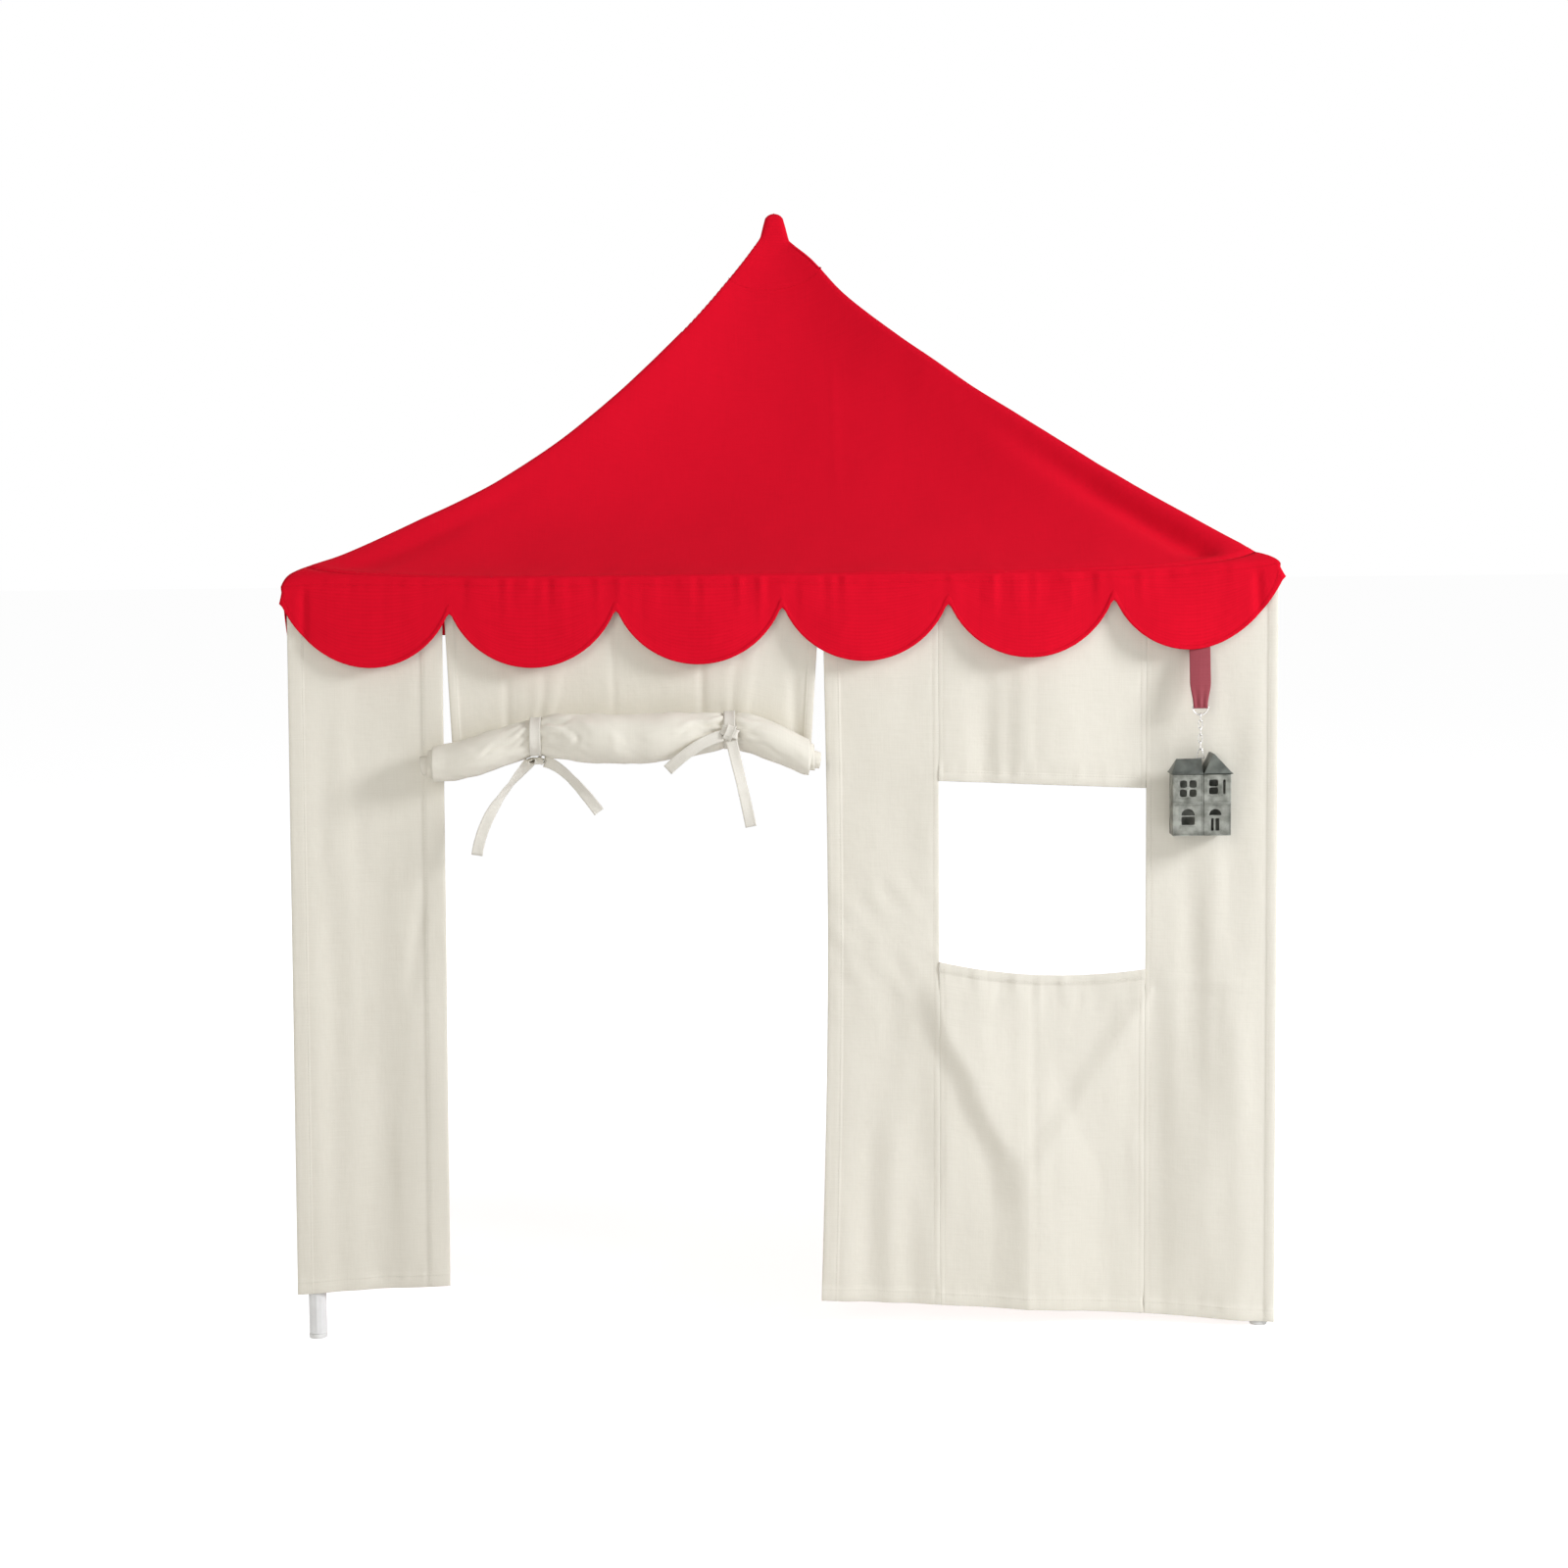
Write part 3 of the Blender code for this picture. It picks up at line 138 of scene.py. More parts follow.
bpy.ops.mesh.primitive_plane_add(size=FLOOR_SIZE, location=(0, 0, 0))
floor = bpy.context.object
floor.name = "floor"
floor_paint = bpy.data.materials.new("floor_paint")
floor_paint.use_nodes = True
paint = floor_paint.node_tree
surface = paint.nodes["Principled BSDF"]
feed(paint, surface, {"Base Color": (*[FLOOR_GREY] * 3, 1), "Roughness": 1.0, "Specular IOR Level": 0.0})
glow = add_node(paint, "Emission", {"Strength": level(paint, 0.0, FLOOR_GLOW)})
both = add_node(paint, "AddShader", {0: surface.outputs["BSDF"], 1: glow.outputs["Emission"]})
feed(paint, paint.nodes["Material Output"], {"Surface": both.outputs["Shader"]})
floor.data.materials.append(floor_paint)
bpy.ops.object.select_all(action="DESELECT")


# Canopy roof.
# Four faces of red cotton canvas sewn into one pagoda roof, which hangs in a curve from the knob
# on the king post to the rails. It is one sheet here, laid on a square grid with its peak in the
# middle, so that its diagonals are the hips.

CLOTH = 0.0012
ROOF_HALF = (0.597, 0.397)
ROOF_RINGS, ROOF_SPREAD, ROOF_STRETCH = 90, 1.45, 1.15
PEAK_HEIGHT, PEAK_R, PEAK_ROUND, PEAK_KNIT, DOME_FALL = 1.397, 0.014, 0.06, 0.004, 4
EAVE, CORNER_RISE = 0.9329, (0.015, 0.0215)  # left and right
SAG, SAG_POWER = (0.077, 0.043), (0.85, 0.55)  # left and right
DISH, DISH_POWER = 0.045, 2.6
ROOF_PULLS = (  # how far the cloth stands off that curve at the left and right, where, and how wide
    ((0, 0.009), (0.085, 0.085), 0.045),
    ((-0.0034, -0.0020), (0.50, 0.68), 0.22),
    ((0.0032, 0), (0.80, 0.80), 0.10),
)
ROOF_CRUMPLE, ROOF_CRUMPLE_SIZE, EAVE_GATHER = 0.0022, 0.11, 0.0011
HIP_FOLD, LESSER_FOLD, HIP_FOLD_AT, HIP_FOLD_WIDTH = 0.0145, 0.0035, 0.90, 0.045
ROOF_CREASE, ROOF_CREASE_AT, ROOF_CREASE_WIDTH = 0.0007, 0.072, 0.0035


def mix(a, b, share):
    return a + (b - a) * share


def ease(value, start, end):
    """0 before start, 1 after end, smooth between."""
    share = np.clip((value - start) / (end - start), 0, 1)
    return share * share * (3 - 2 * share)


def hill(value, middle, width):
    """1 in the middle, falling away smoothly on both sides."""
    return np.exp(-(((value - middle) / width) ** 2))


def soft_noise(across, up, seed):
    """Smooth random values from -1 to 1, one for each unit square."""
    side = 128
    lattice = np.random.default_rng(seed).uniform(-1, 1, (side, side))
    across, up = np.broadcast_arrays(across, up)
    column, row = np.floor(across).astype(int), np.floor(up).astype(int)
    a, b = ease(across - column, 0, 1), ease(up - row, 0, 1)
    near, far = column % side, (column + 1) % side
    low, high = row % side, (row + 1) % side
    below = mix(lattice[near, low], lattice[far, low], a)
    above = mix(lattice[near, high], lattice[far, high], a)
    return mix(below, above, b)


def crumple(across, up, size, seed):
    """Three sizes of soft noise, each half as wide and half as deep as the one before."""
    total = 0
    for step in range(3):
        finer = 2**step
        total = total + soft_noise(across / size * finer, up / size * finer, seed + step) / finer
    return total / 1.75


def seam_outline(along, share):
    """How far the roof's outline is drawn in: round at the peak, nearly square at the eaves."""
    power = mix(2, 16, np.minimum(1, share / (2 * PEAK_ROUND)))
    return (np.abs(along) ** power + 1) ** (-1 / power)


def eave_at(along, across):
    return EAVE + mix(*CORNER_RISE, (across + 1) / 2) * np.abs(along) ** 6


def roof_height(along, across, share):
    right = (across + 1) / 2
    bend = share ** mix(*SAG_POWER, right)
    sag = 4 * mix(*SAG, right) * bend * (1 - bend)
    dish = 4 * DISH * share * (1 - share) * (1 - np.abs(along) ** DISH_POWER)
    slope = mix(PEAK_HEIGHT, eave_at(along, across), share) - sag - dish
    for pull, middle, width in ROOF_PULLS:
        slope = slope + mix(*pull, right) * hill(share, mix(*middle, right), width)
    radius = share * ROOF_HALF[0]
    dome = PEAK_HEIGHT - PEAK_R + np.sqrt(np.maximum(PEAK_R**2 - radius**2, 0))
    dome = dome - DOME_FALL * np.maximum(radius - PEAK_R, 0)
    gap = np.clip(0.5 + (dome - slope) / (2 * PEAK_KNIT), 0, 1)
    return mix(slope, dome, gap) + PEAK_KNIT * gap * (1 - gap)


def roof_grid(rings, reach, power):
    """Points of the roof out to a share of its slope, with their shares of the slope and of their
    face's width, and whether they are on the front face. power crowds the rings near the peak."""
    steps = np.arange(-rings, rings + 1)
    x_step, y_step = np.meshgrid(steps, steps)
    ring = np.maximum(np.abs(x_step), np.abs(y_step))
    share = reach * (ring / rings) ** power
    ring = np.maximum(ring, 1)
    half_x = ROOF_HALF[0] * share
    half_y = half_x + (ROOF_HALF[1] - ROOF_HALF[0]) * share * (1 - hill(share, 0, PEAK_ROUND))
    facing_y = np.abs(y_step) == ring
    along = np.where(facing_y, x_step, y_step) / ring
    drawn = seam_outline(along, share)
    height = roof_height(along, x_step / ring, share)
    points = np.stack([half_x * x_step / ring * drawn, half_y * y_step / ring * drawn, height], axis=-1)
    return points, share, along, facing_y & (y_step < 0)


def normals_of(points):
    """Unit normals of a grid of points."""
    normals = np.cross(np.gradient(points, axis=1), np.gradient(points, axis=0))
    return normals / np.maximum(np.linalg.norm(normals, axis=-1, keepdims=True), 1e-12)


def place_mesh(name, points, faces, places, material, body, slot, replaced=()):
    """A piece from its points and faces. Its UV map is each point's place on the flat cloth, in metres."""
    mesh = bpy.data.meshes.new(name)
    mesh.from_pydata((points + (0, SETBACK, 0)).tolist(), [], faces.tolist())
    layer = mesh.uv_layers.new(name="cloth")
    layer.data.foreach_set("uv", places[faces.reshape(-1)].astype(np.float32).ravel())
    mesh.shade_smooth()
    made = bpy.data.objects.new(name, mesh)
    bpy.context.scene.collection.objects.link(made)
    made.data.materials.append(material)
    if body:
        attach(made, body)
    if replaced:
        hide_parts(*replaced)
    return made


def cloth_piece(name, points, places, material, body, slot, replaced=(), thickness=CLOTH, offset=-1.0):
    """A cloth from a grid of points. Its thickness is on its inner side unless offset says another."""
    rows, columns = points.shape[:2]
    number = np.arange(rows * columns).reshape(rows, columns)
    faces = np.stack([number[:-1, :-1], number[:-1, 1:], number[1:, 1:], number[1:, :-1]], axis=-1)
    flat = points.reshape(-1, 3), faces.reshape(-1, 4), places.reshape(-1, 2)
    made = place_mesh(name, *flat, material, body, slot, replaced)
    shell = made.modifiers.new("thickness", "SOLIDIFY")
    shell.thickness = thickness
    shell.offset = offset
    return made


def woven_group():
    """Plain weave: where one thread passes over the other, and uneven threads."""
    group = bpy.data.node_groups.new("woven", "ShaderNodeTree")
    group.interface.new_socket("Place", in_out="INPUT", socket_type="NodeSocketVector")
    for name, usual in (("Pitch", 0.0009), ("Slubs", 0.5)):
        socket = group.interface.new_socket(name, in_out="INPUT", socket_type="NodeSocketFloat")
        socket.default_value = usual
    for name in ("Height", "ShadeAndTone"):
        group.interface.new_socket(name, in_out="OUTPUT", socket_type="NodeSocketFloat")
    source = group.nodes.new("NodeGroupInput")
    result = group.nodes.new("NodeGroupOutput")
    place, pitch = source.outputs["Place"], source.outputs["Pitch"]

    def calc(operation, *values):
        return add_node(group, "Math", dict(enumerate(values)), operation=operation).outputs[0]

    apart = add_node(group, "SeparateXYZ", {"Vector": place})
    turn = calc("DIVIDE", math.pi, pitch)
    warp = calc("SINE", calc("MULTIPLY", apart.outputs["X"], turn))
    weft = calc("SINE", calc("MULTIPLY", apart.outputs["Y"], turn))
    over = calc("MULTIPLY_ADD", calc("MULTIPLY", warp, weft), 0.5, 0.5)
    warp_over = calc("MULTIPLY", calc("ABSOLUTE", warp), over)
    weft_over = calc("MULTIPLY", calc("ABSOLUTE", weft), calc("SUBTRACT", 1.0, over))
    threads = calc("ADD", warp_over, weft_over)
    slubs = []
    for stretch in ((900.0, 28.0, 1.0), (28.0, 900.0, 1.0)):
        along_thread = add_node(group, "Mapping", {"Vector": place, "Scale": stretch}).outputs["Vector"]
        uneven = add_node(group, "TexNoise", {"Vector": along_thread, "Scale": 1.0, "Detail": 1.0})
        slubs.append(uneven.outputs["Fac"])
    slub = calc("MULTIPLY_ADD", calc("ADD", *slubs), 0.5, 0.0)
    height = calc("ADD", threads, calc("MULTIPLY", slub, source.outputs["Slubs"]))
    # The uneven threads' own colour, plus painted shade that darkens the gaps between the threads.
    thread_shade_and_tone = calc("MULTIPLY_ADD", slub, 0.6, calc("MULTIPLY", threads, 0.4))
    feed(group, result, {"Height": height, "ShadeAndTone": thread_shade_and_tone})
    return group


WOVEN = woven_group()
CLOUDS, CLOUD_SHARE, CREASES, CREASE_DEPTH = 5.0, 0.35, 70.0, 0.0012


def mixed_colour(tree, dark, light, share, low, high):
    """A colour between two, by a share that goes from low to high."""
    spread = add_node(tree, "MapRange", {"Value": share, "From Min": low, "From Max": high})
    inputs = {"A": (*dark, 1), "B": (*light, 1), "Factor": spread.outputs["Result"]}
    return add_node(tree, "Mix", inputs, data_type="RGBA").outputs["Result"]


def cloth_material(name, light, dark, pitch, slubs, depth, roughness, sheen):
    """Woven cloth, with painted shade that makes it dark between its threads and light on them."""
    made = bpy.data.materials.new(name)
    made.use_nodes = True
    tree = made.node_tree
    place = add_node(tree, "UVMap", {}, uv_map="cloth").outputs["UV"]
    woven = add_node(tree, "Group", {}, node_tree=WOVEN)
    feed(tree, woven, {"Place": place, "Pitch": pitch, "Slubs": slubs})
    spot = add_node(tree, "TexCoord", {}).outputs["Object"]
    clouds = add_node(tree, "TexNoise", {"Vector": spot, "Scale": CLOUDS, "Detail": 3.0}).outputs["Fac"]
    # Random broad variation plus the weave's colour, which holds painted shade between the threads.
    tones = {0: clouds, 1: CLOUD_SHARE, 2: woven.outputs["ShadeAndTone"]}
    shade = add_node(tree, "Math", tones, operation="MULTIPLY_ADD").outputs["Value"]
    creased = add_node(tree, "TexNoise", {"Vector": spot, "Scale": CREASES, "Detail": 2.0}).outputs["Fac"]
    creases = add_node(tree, "Bump", {"Height": creased, "Strength": 0.35, "Distance": CREASE_DEPTH})
    threads = {"Height": woven.outputs["Height"], "Normal": creases.outputs["Normal"]}
    relief = add_node(tree, "Bump", {**threads, "Strength": 0.5, "Distance": depth})
    feed(tree, tree.nodes["Principled BSDF"], {
        "Base Color": mixed_colour(tree, dark, light, shade, 0.25, 0.85),
        "Roughness": roughness, "Specular IOR Level": 0.12,
        "Sheen Weight": sheen, "Sheen Roughness": 0.6, "Normal": relief.outputs["Normal"],
    })
    return made


RED_CANVAS = cloth_material(
    "red_canvas", (0.75, 0.0022, 0.020), (0.61, 0.0012, 0.014), 0.0009, 0.6, 0.00018, 0.92, 0.0
)

roof_points, roof_share, roof_along, roof_front = roof_grid(ROOF_RINGS, 1.0, ROOF_SPREAD)
roof_normals = normals_of(roof_points)
roof_x, roof_y = roof_points[..., 0], roof_points[..., 1]
roof_relief = ROOF_CRUMPLE * crumple(roof_x, roof_y, ROOF_CRUMPLE_SIZE, 11) * ease(roof_share, 0.05, 0.3)
# The seam at the eaves gathers the cloth a little.
roof_relief += EAVE_GATHER * soft_noise(roof_along * 45, roof_share * 3, 21) * ease(roof_share, 0.90, 1.0)
# A slack fold runs inside the front right hip, and lesser ones inside the others.
slack = hill(np.abs(roof_along), HIP_FOLD_AT, HIP_FOLD_WIDTH) * ease(roof_share, 0.42, 0.9)
slack = slack * np.where(roof_front & (roof_along > 0), HIP_FOLD, LESSER_FOLD)
roof_relief -= slack * (1 - ease(roof_share, 0.955, 0.985))
# A crease from packing, down the front face.
packed = hill(roof_x, ROOF_CREASE_AT, ROOF_CREASE_WIDTH) * roof_front
roof_relief += ROOF_CREASE * packed * ease(roof_share, 0.25, 0.3) * (1 - ease(roof_share, 0.55, 0.7))
roof_relief = roof_relief * (1 - ease(roof_share, 0.965, 0.995))
roof_points = roof_points + roof_normals * roof_relief[..., None]
roof_places = roof_points[..., :2] * ROOF_STRETCH
roof = cloth_piece("roof_cloth", roof_points, roof_places, RED_CANVAS, "tent", "red_cotton", ["canopy_roof"])


# Peak patch.
# A square of the same canvas, sewn inside the peak where the knob would wear through. Its straight
# row of stitches shows on each face.

PATCH_RINGS, PATCH_SPREAD, PATCH_STRETCH = 36, 1.3, 1.4
PATCH_REACH, PATCH_GAP = 0.105, 0.0006
patch_points = roof_grid(PATCH_RINGS, PATCH_REACH, PATCH_SPREAD)[0]
patch_points = patch_points - normals_of(patch_points) * (CLOTH + PATCH_GAP)
patch = cloth_piece(
    "peak_patch_cloth", patch_points, patch_points[..., :2] * PATCH_STRETCH,
    RED_CANVAS, "tent", "red_cotton", ["peak_patch"],
)


# Valance.
# A strip of the canvas on each side, cut in scallops, hemmed along its lower edge and sewn to the
# roof at the eaves, where it bends over the rail.

HALF_WIDTH, HALF_DEPTH = 0.6, 0.4
SCALLOP_HALF, SCALLOP_DEPTH, CUSP_ROUND, CUSP_SHARE = HALF_WIDTH / 6, 0.070, 0.0045, 0.1
STEEPEST = 2.2  # past that slope the hem gets no wider
CUSP_DROP, TIP_LIFT, TIP_OUT = (0.041, 0.029), (0.017, 0.025), (0.004, 0.008)  # left and right
SHOULDER_DROP, SHOULDER_CORNER_DROP, SHOULDER_INSET = 0.008, (0.015, 0.006), 0.0015
FRONT_FLARE, SIDE_FLARE, SIDE_INSET, CORNER_CLEARANCE = 0.015, 0.001, 0.0022, 0.0016
VALANCE_HEM, VALANCE_HEM_PROUD, SEAM_GAP = 0.0052, 0.0007, 0.0004
HEM_ROWS, HEM_ROUND = (0, 0.16, 0.3, 0.8, 0.93, 1.0), (0.0, 0.9, 1.0, 1.0, 0.1, 0.0)
VALANCE_ROWS, SCALLOP_COLUMNS = 26, 64
FRONT_CREASES, OTHER_CREASES = (0.0012, 0.0032), (0.0003, 0.0010)  # crumples and gathers
CREST_IN, CREST_RISE, BEND_ROWS = (0.03, 0.165), (0.72, 0.64), 8  # in the middle and at the corners
END_FOLD, END_FOLD_AT, END_FOLD_WIDTH = 0.0060, 0.957, 0.008

SIDES = {
    "front": ((1, 0), (0, -1)),
    "right": ((0, 1), (1, 0)),
    "rear": ((-1, 0), (0, 1)),
    "left": ((0, -1), (-1, 0)),
}


def on_side(side, along, out, up):
    """Points from their places along a side, their distance out from the middle and their height."""
    (right_x, right_y), (out_x, out_y) = SIDES[side]
    along, out, up = np.broadcast_arrays(along, out, up)
    return np.stack([right_x * along + out_x * out, right_y * along + out_y * out, up], axis=-1)


def scalloped(share, scallops):
    """How far the edge drops below the points between the scallops, and how steep it is. Each
    scallop is an arc, and the points are a little rounded."""
    cell = (share + 1) / 2 * scallops
    from_middle = (cell - np.floor(cell)) * 2 - 1
    from_middle[0, -1] = 1
    radius = (SCALLOP_HALF**2 + SCALLOP_DEPTH**2) / (2 * SCALLOP_DEPTH)
    rise = np.sqrt(radius**2 - (SCALLOP_HALF * from_middle) ** 2)
    rounded = CUSP_ROUND * (1 - ((1 - np.abs(from_middle)) / CUSP_SHARE) ** 2)
    drop = np.maximum(rise - (radius - SCALLOP_DEPTH), rounded)
    return drop, np.minimum(SCALLOP_HALF * np.abs(from_middle) / rise, STEEPEST)


def bend_over(start, top, at_corner):
    """Rows of points that bend from the valance's upper edge over the rail to the seam."""
    crest_in, crest_rise = mix(*CREST_IN, at_corner), mix(*CREST_RISE, at_corner)
    crest = mix(start, top, np.stack([crest_in, crest_in, crest_rise], axis=-1))
    step = np.linspace(0, 1, BEND_ROWS + 1)[1:, None, None]
    return start * (1 - step) ** 2 + crest * 2 * step * (1 - step) + top * step**2


def valance_points(side, scallops, half_along, half_out, seam_along, seam_out, flare, seed):
    """The scalloped strip as a grid, from its lower edge up to the seam."""
    share = np.linspace(-1, 1, scallops * SCALLOP_COLUMNS + 1)[None, :]
    to_corner, at_corner = np.abs(share) ** 8, np.abs(share) ** 14
    limit = half_along - CORNER_CLEARANCE
    right = np.clip(on_side(side, limit * share, half_out, 0.0)[..., 0] / (2 * HALF_WIDTH) + 0.5, 0, 1)
    drop, steep = scalloped(share, scallops)
    low = EAVE - mix(*CUSP_DROP, right) + mix(*TIP_LIFT, right) * to_corner - drop
    across = on_side(side, share, 1.0, 0.0)[..., 0]
    corner_drop = mix(*SHOULDER_CORNER_DROP, (across + 1) / 2) * at_corner
    shoulder = eave_at(share, across) - SHOULDER_DROP - corner_drop
    low = np.minimum(low, shoulder - 0.010)
    hem = VALANCE_HEM * np.sqrt(1 + steep**2)
    rows = [low + hem * step for step in HEM_ROWS]
    rows += [mix(low + hem, shoulder, step) for step in np.linspace(0, 1, VALANCE_ROWS + 1)[1:]]
    height = np.concatenate(rows)
    below = shoulder - height
    out = half_out + (flare * below / (CUSP_DROP[0] + SCALLOP_DEPTH) - SHOULDER_INSET) * (1 - to_corner)
    if side in ("left", "right"):
        out = out - SIDE_INSET * ease(below, 0.0, 0.02)
    # Soft waves, gathers under the seam, a rolled hem.
    crumples, gathers = FRONT_CREASES if side == "front" else OTHER_CREASES
    hang, way = ease(below, 0.0, 0.09), share * half_along
    waves = flare * 0.25 * soft_noise(share * scallops * 1.3 + 3, height * 9, seed) * hang
    waves += crumples * crumple(way, height, 0.035, seed + 3) * hang
    pull = np.exp(-below / 0.024) * (1 - to_corner)
    pull = pull * (0.55 + 0.45 * soft_noise(share * 4, 0 * height, seed + 12))
    waves += gathers * soft_noise(way / 0.0085, height / 0.06, seed + 6) * pull
    if side == "front":
        # A fold where the side valance pulls at each end.
        waves -= END_FOLD * hill(np.abs(share), END_FOLD_AT, END_FOLD_WIDTH) * ease(below, -0.002, 0.02)
    pucker = 0.25 * soft_noise(way / 0.006, 0 * height, seed + 9)
    rolled = np.interp((height - low) / hem, HEM_ROWS, HEM_ROUND) * (1 + pucker)
    out = out + (waves + VALANCE_HEM_PROUD * rolled) * (1 - 0.8 * to_corner)
    ends = limit * share + 0 * height
    if side == "front":
        # The cloth ends in a small point at each corner.
        point = np.abs(share) ** 24 * (below / np.max(below, axis=0)) ** 1.5
        ends = ends + np.sign(share) * mix(*TIP_OUT, right) * point
    points = on_side(side, ends, out, height)
    # The shoulder turns over from the seam.
    drawn = seam_outline(share, np.ones_like(share))
    seam_out, seam_along = seam_out * drawn + 0.0002, (seam_along + 0.0001) * share * drawn
    top = on_side(side, seam_along, seam_out, eave_at(share, across) - SEAM_GAP)[0]
    return np.concatenate([points, bend_over(points[-1], top, at_corner[0])])


def cloth_places(points):
    """Where each point of a grid lies on the flat cloth: its way along its row and up its column."""
    row, column = points[points.shape[0] // 2], points[:, points.shape[1] // 2]
    ways = [np.linalg.norm(np.diff(line, axis=0), axis=-1) for line in (row, column)]
    return np.stack(np.meshgrid(*[np.concatenate([[0], np.cumsum(way)]) for way in ways]), axis=-1)


valance_grids = {}
for number, side in enumerate(("front", "rear", "left", "right")):
    scallops, sizes = 6, (HALF_WIDTH, HALF_DEPTH, *ROOF_HALF)
    if side in ("left", "right"):
        scallops, sizes = 4, (HALF_DEPTH, HALF_WIDTH, *ROOF_HALF[::-1])
    flare = FRONT_FLARE if side == "front" else SIDE_FLARE
    points = valance_points(side, scallops, *sizes, flare, 40 + 20 * number)
    valance_grids[side] = points
    valance = cloth_piece(
        "valance_cloth_" + side, points, cloth_places(points),
        RED_CANVAS, "tent", "red_cotton", ["valance_" + side],
    )


# Wall cloths.
# Cream cotton canvas. Each wall hangs from its rail by a sleeve, and the front is sewn together
# from strips: a panel at the left, a strip beside the doorway, a header and an apron round the
# window, and a strip at the right.

CREAM_CANVAS = cloth_material(
    "cream_canvas", (0.850, 0.815, 0.716), (0.73, 0.692, 0.588), 0.0010, 0.7, 0.00022, 0.92, 0.05
)
RAIL_HEIGHT, WALL, WIDTH_AT = 0.9185, (0.594, 0.394), 0.45  # a wall's width is taken at that height
SLEEVE_R, SLEEVE_TAIL, SLEEVE_NOTCH = 0.0127, 0.022, 0.040
DOORWAY_LEFT, DOORWAY_RIGHT = -0.408, 0.048
DOORWAY_BOW, DOORWAY_LEAN, PANEL_LEAN = 0.008, 0.009, 0.010
WINDOW_LEFT, WINDOW_RIGHT = 0.1876, 0.4400
WINDOW_TOP, WINDOW_HEIGHT, WINDOW_TILT, WINDOW_SAG = 0.681, 0.223, 0.012, 0.012
PANEL_HEM_HEIGHTS, RIGHT_HEM_HEIGHTS = (0.057, 0.065), (0.034, 0.005)
PANEL_HEM, SIDE_HEM, STRIP_HEM, HEAD_HEM, NARROW_HEM, LOW_HEM = 0.019, 0.026, 0.018, 0.014, 0.012, 0.016
HEM_PROUD, HEM_STITCH, STITCH_SINK, SEAM_STITCH = 0.0009, 0.0018, 0.0005, 0.0062
SEAM_STEPS = [0.0008, 0.0020, 0.0034, 0.0050, SEAM_STITCH, 0.0074]
SEAM, SEAM_SINK, POST_WRAP = 0.00002, (0.0003, 0.0002), 0.0045
CANVAS_CRUMPLE, LOW_PUCKER, SILL_PUCKER, PUCKER = 0.0011, 0.0009, 0.0017, (0.0065, 0.0072)


def lean(height, amount):
    return amount * np.maximum(0, 1 - height / RAIL_HEIGHT)


def panel_edge(height):
    return -WALL[0] - lean(height, PANEL_LEAN)


def doorway_left(height):
    return DOORWAY_LEFT - lean(height, DOORWAY_LEAN)


def doorway_right(height):
    bow = DOORWAY_BOW * np.sin(np.pi * np.minimum(1, height / RAIL_HEIGHT))
    return DOORWAY_RIGHT + bow - lean(height, DOORWAY_LEAN)


def window_head(share):
    return WINDOW_TOP - WINDOW_TILT * share


def window_sill(share):
    return window_head(share) - WINDOW_HEIGHT - WINDOW_SAG * (1 - (2 * share - 1) ** 2)


def right_hem(start, end):
    """The right wall's lower edge, for a piece of it between two places."""
    width = WALL[0] - DOORWAY_RIGHT
    return lambda share: mix(*RIGHT_HEM_HEIGHTS, (mix(start, end, share) - DOORWAY_RIGHT) / width)


def straight(value):
    return lambda place: value + 0 * place


def stations(length, step, fine):
    """Places from 0 to a length, about a step apart, with fine ones added exactly."""
    places = list(np.linspace(0, length, max(2, round(length / step)) + 1))
    for place in fine:
        places = [other for other in places if abs(other - place) > 0.0004 or other in (0, length)]
        places.append(place)
    return np.array(sorted(places))


def edge_steps(hem, sewn=False):
    """Where an edge needs points: its hem's fold and both sides of the hem's step, or its seam."""
    if hem:
        return [0.0006, 0.0014, hem - 0.0026, hem - HEM_STITCH, hem - 0.0010, hem]
    return SEAM_STEPS if sewn else []


def hem_rise(distance, width):
    """How proud a hem stands: full over its width, sunk where its stitches pull it down."""
    edge = np.interp(distance, [0, 0.0014, width - 0.0010, width], [0.35, 1, 1, 0])
    sunk = hill(distance, width - HEM_STITCH, 0.0009)
    return np.where(distance <= width, HEM_PROUD * edge, 0) - STITCH_SINK * sunk


def sewn_relief(edges, along, height, hems, sewn, seed):
    """How hems stand proud and pucker, and how seams sink. edges are the distances from the left,
    right, lower and upper edge."""
    proud = sum(hem_rise(distance, hem) for distance, hem in zip(edges, hems) if hem)
    for edge, distance in zip(("left", "right"), edges):
        if edge in sewn:
            proud = proud - SEAM_SINK[0] * hill(distance, 0, 0.0020)
            proud = proud - SEAM_SINK[1] * hill(distance, SEAM_STITCH, 0.0012)
    if hems[2]:
        pucker = soft_noise(along / PUCKER[0], 0 * height, seed + 5) * hill(edges[2], hems[2], 0.009)
        proud = proud + LOW_PUCKER * pucker
    if hems[3]:
        reach = hill(edges[3], hems[3], np.where(edges[3] > hems[3], 0.024, 0.011))
        proud = proud + SILL_PUCKER * soft_noise(along / PUCKER[1], height / 0.05, seed + 7) * reach
    return proud


def stitch_lines(points, across, up, hems, sewn):
    """The columns and rows of points along which the cloth is stitched."""
    lines = []
    for edge, hem in zip(("left", "right"), hems):
        if hem or edge in sewn:
            inset = hem - HEM_STITCH if hem else SEAM_STITCH
            place = inset if edge == "left" else across[-1] - inset
            lines.append(points[:, np.argmin(np.abs(across - place))])
    if hems[2]:
        lines.append(points[np.argmin(np.abs(up - hems[2] + HEM_STITCH))])
    if hems[3]:
        lines.append(points[np.argmin(np.abs(up - up[-1] + hems[3] - HEM_STITCH))])
    return lines


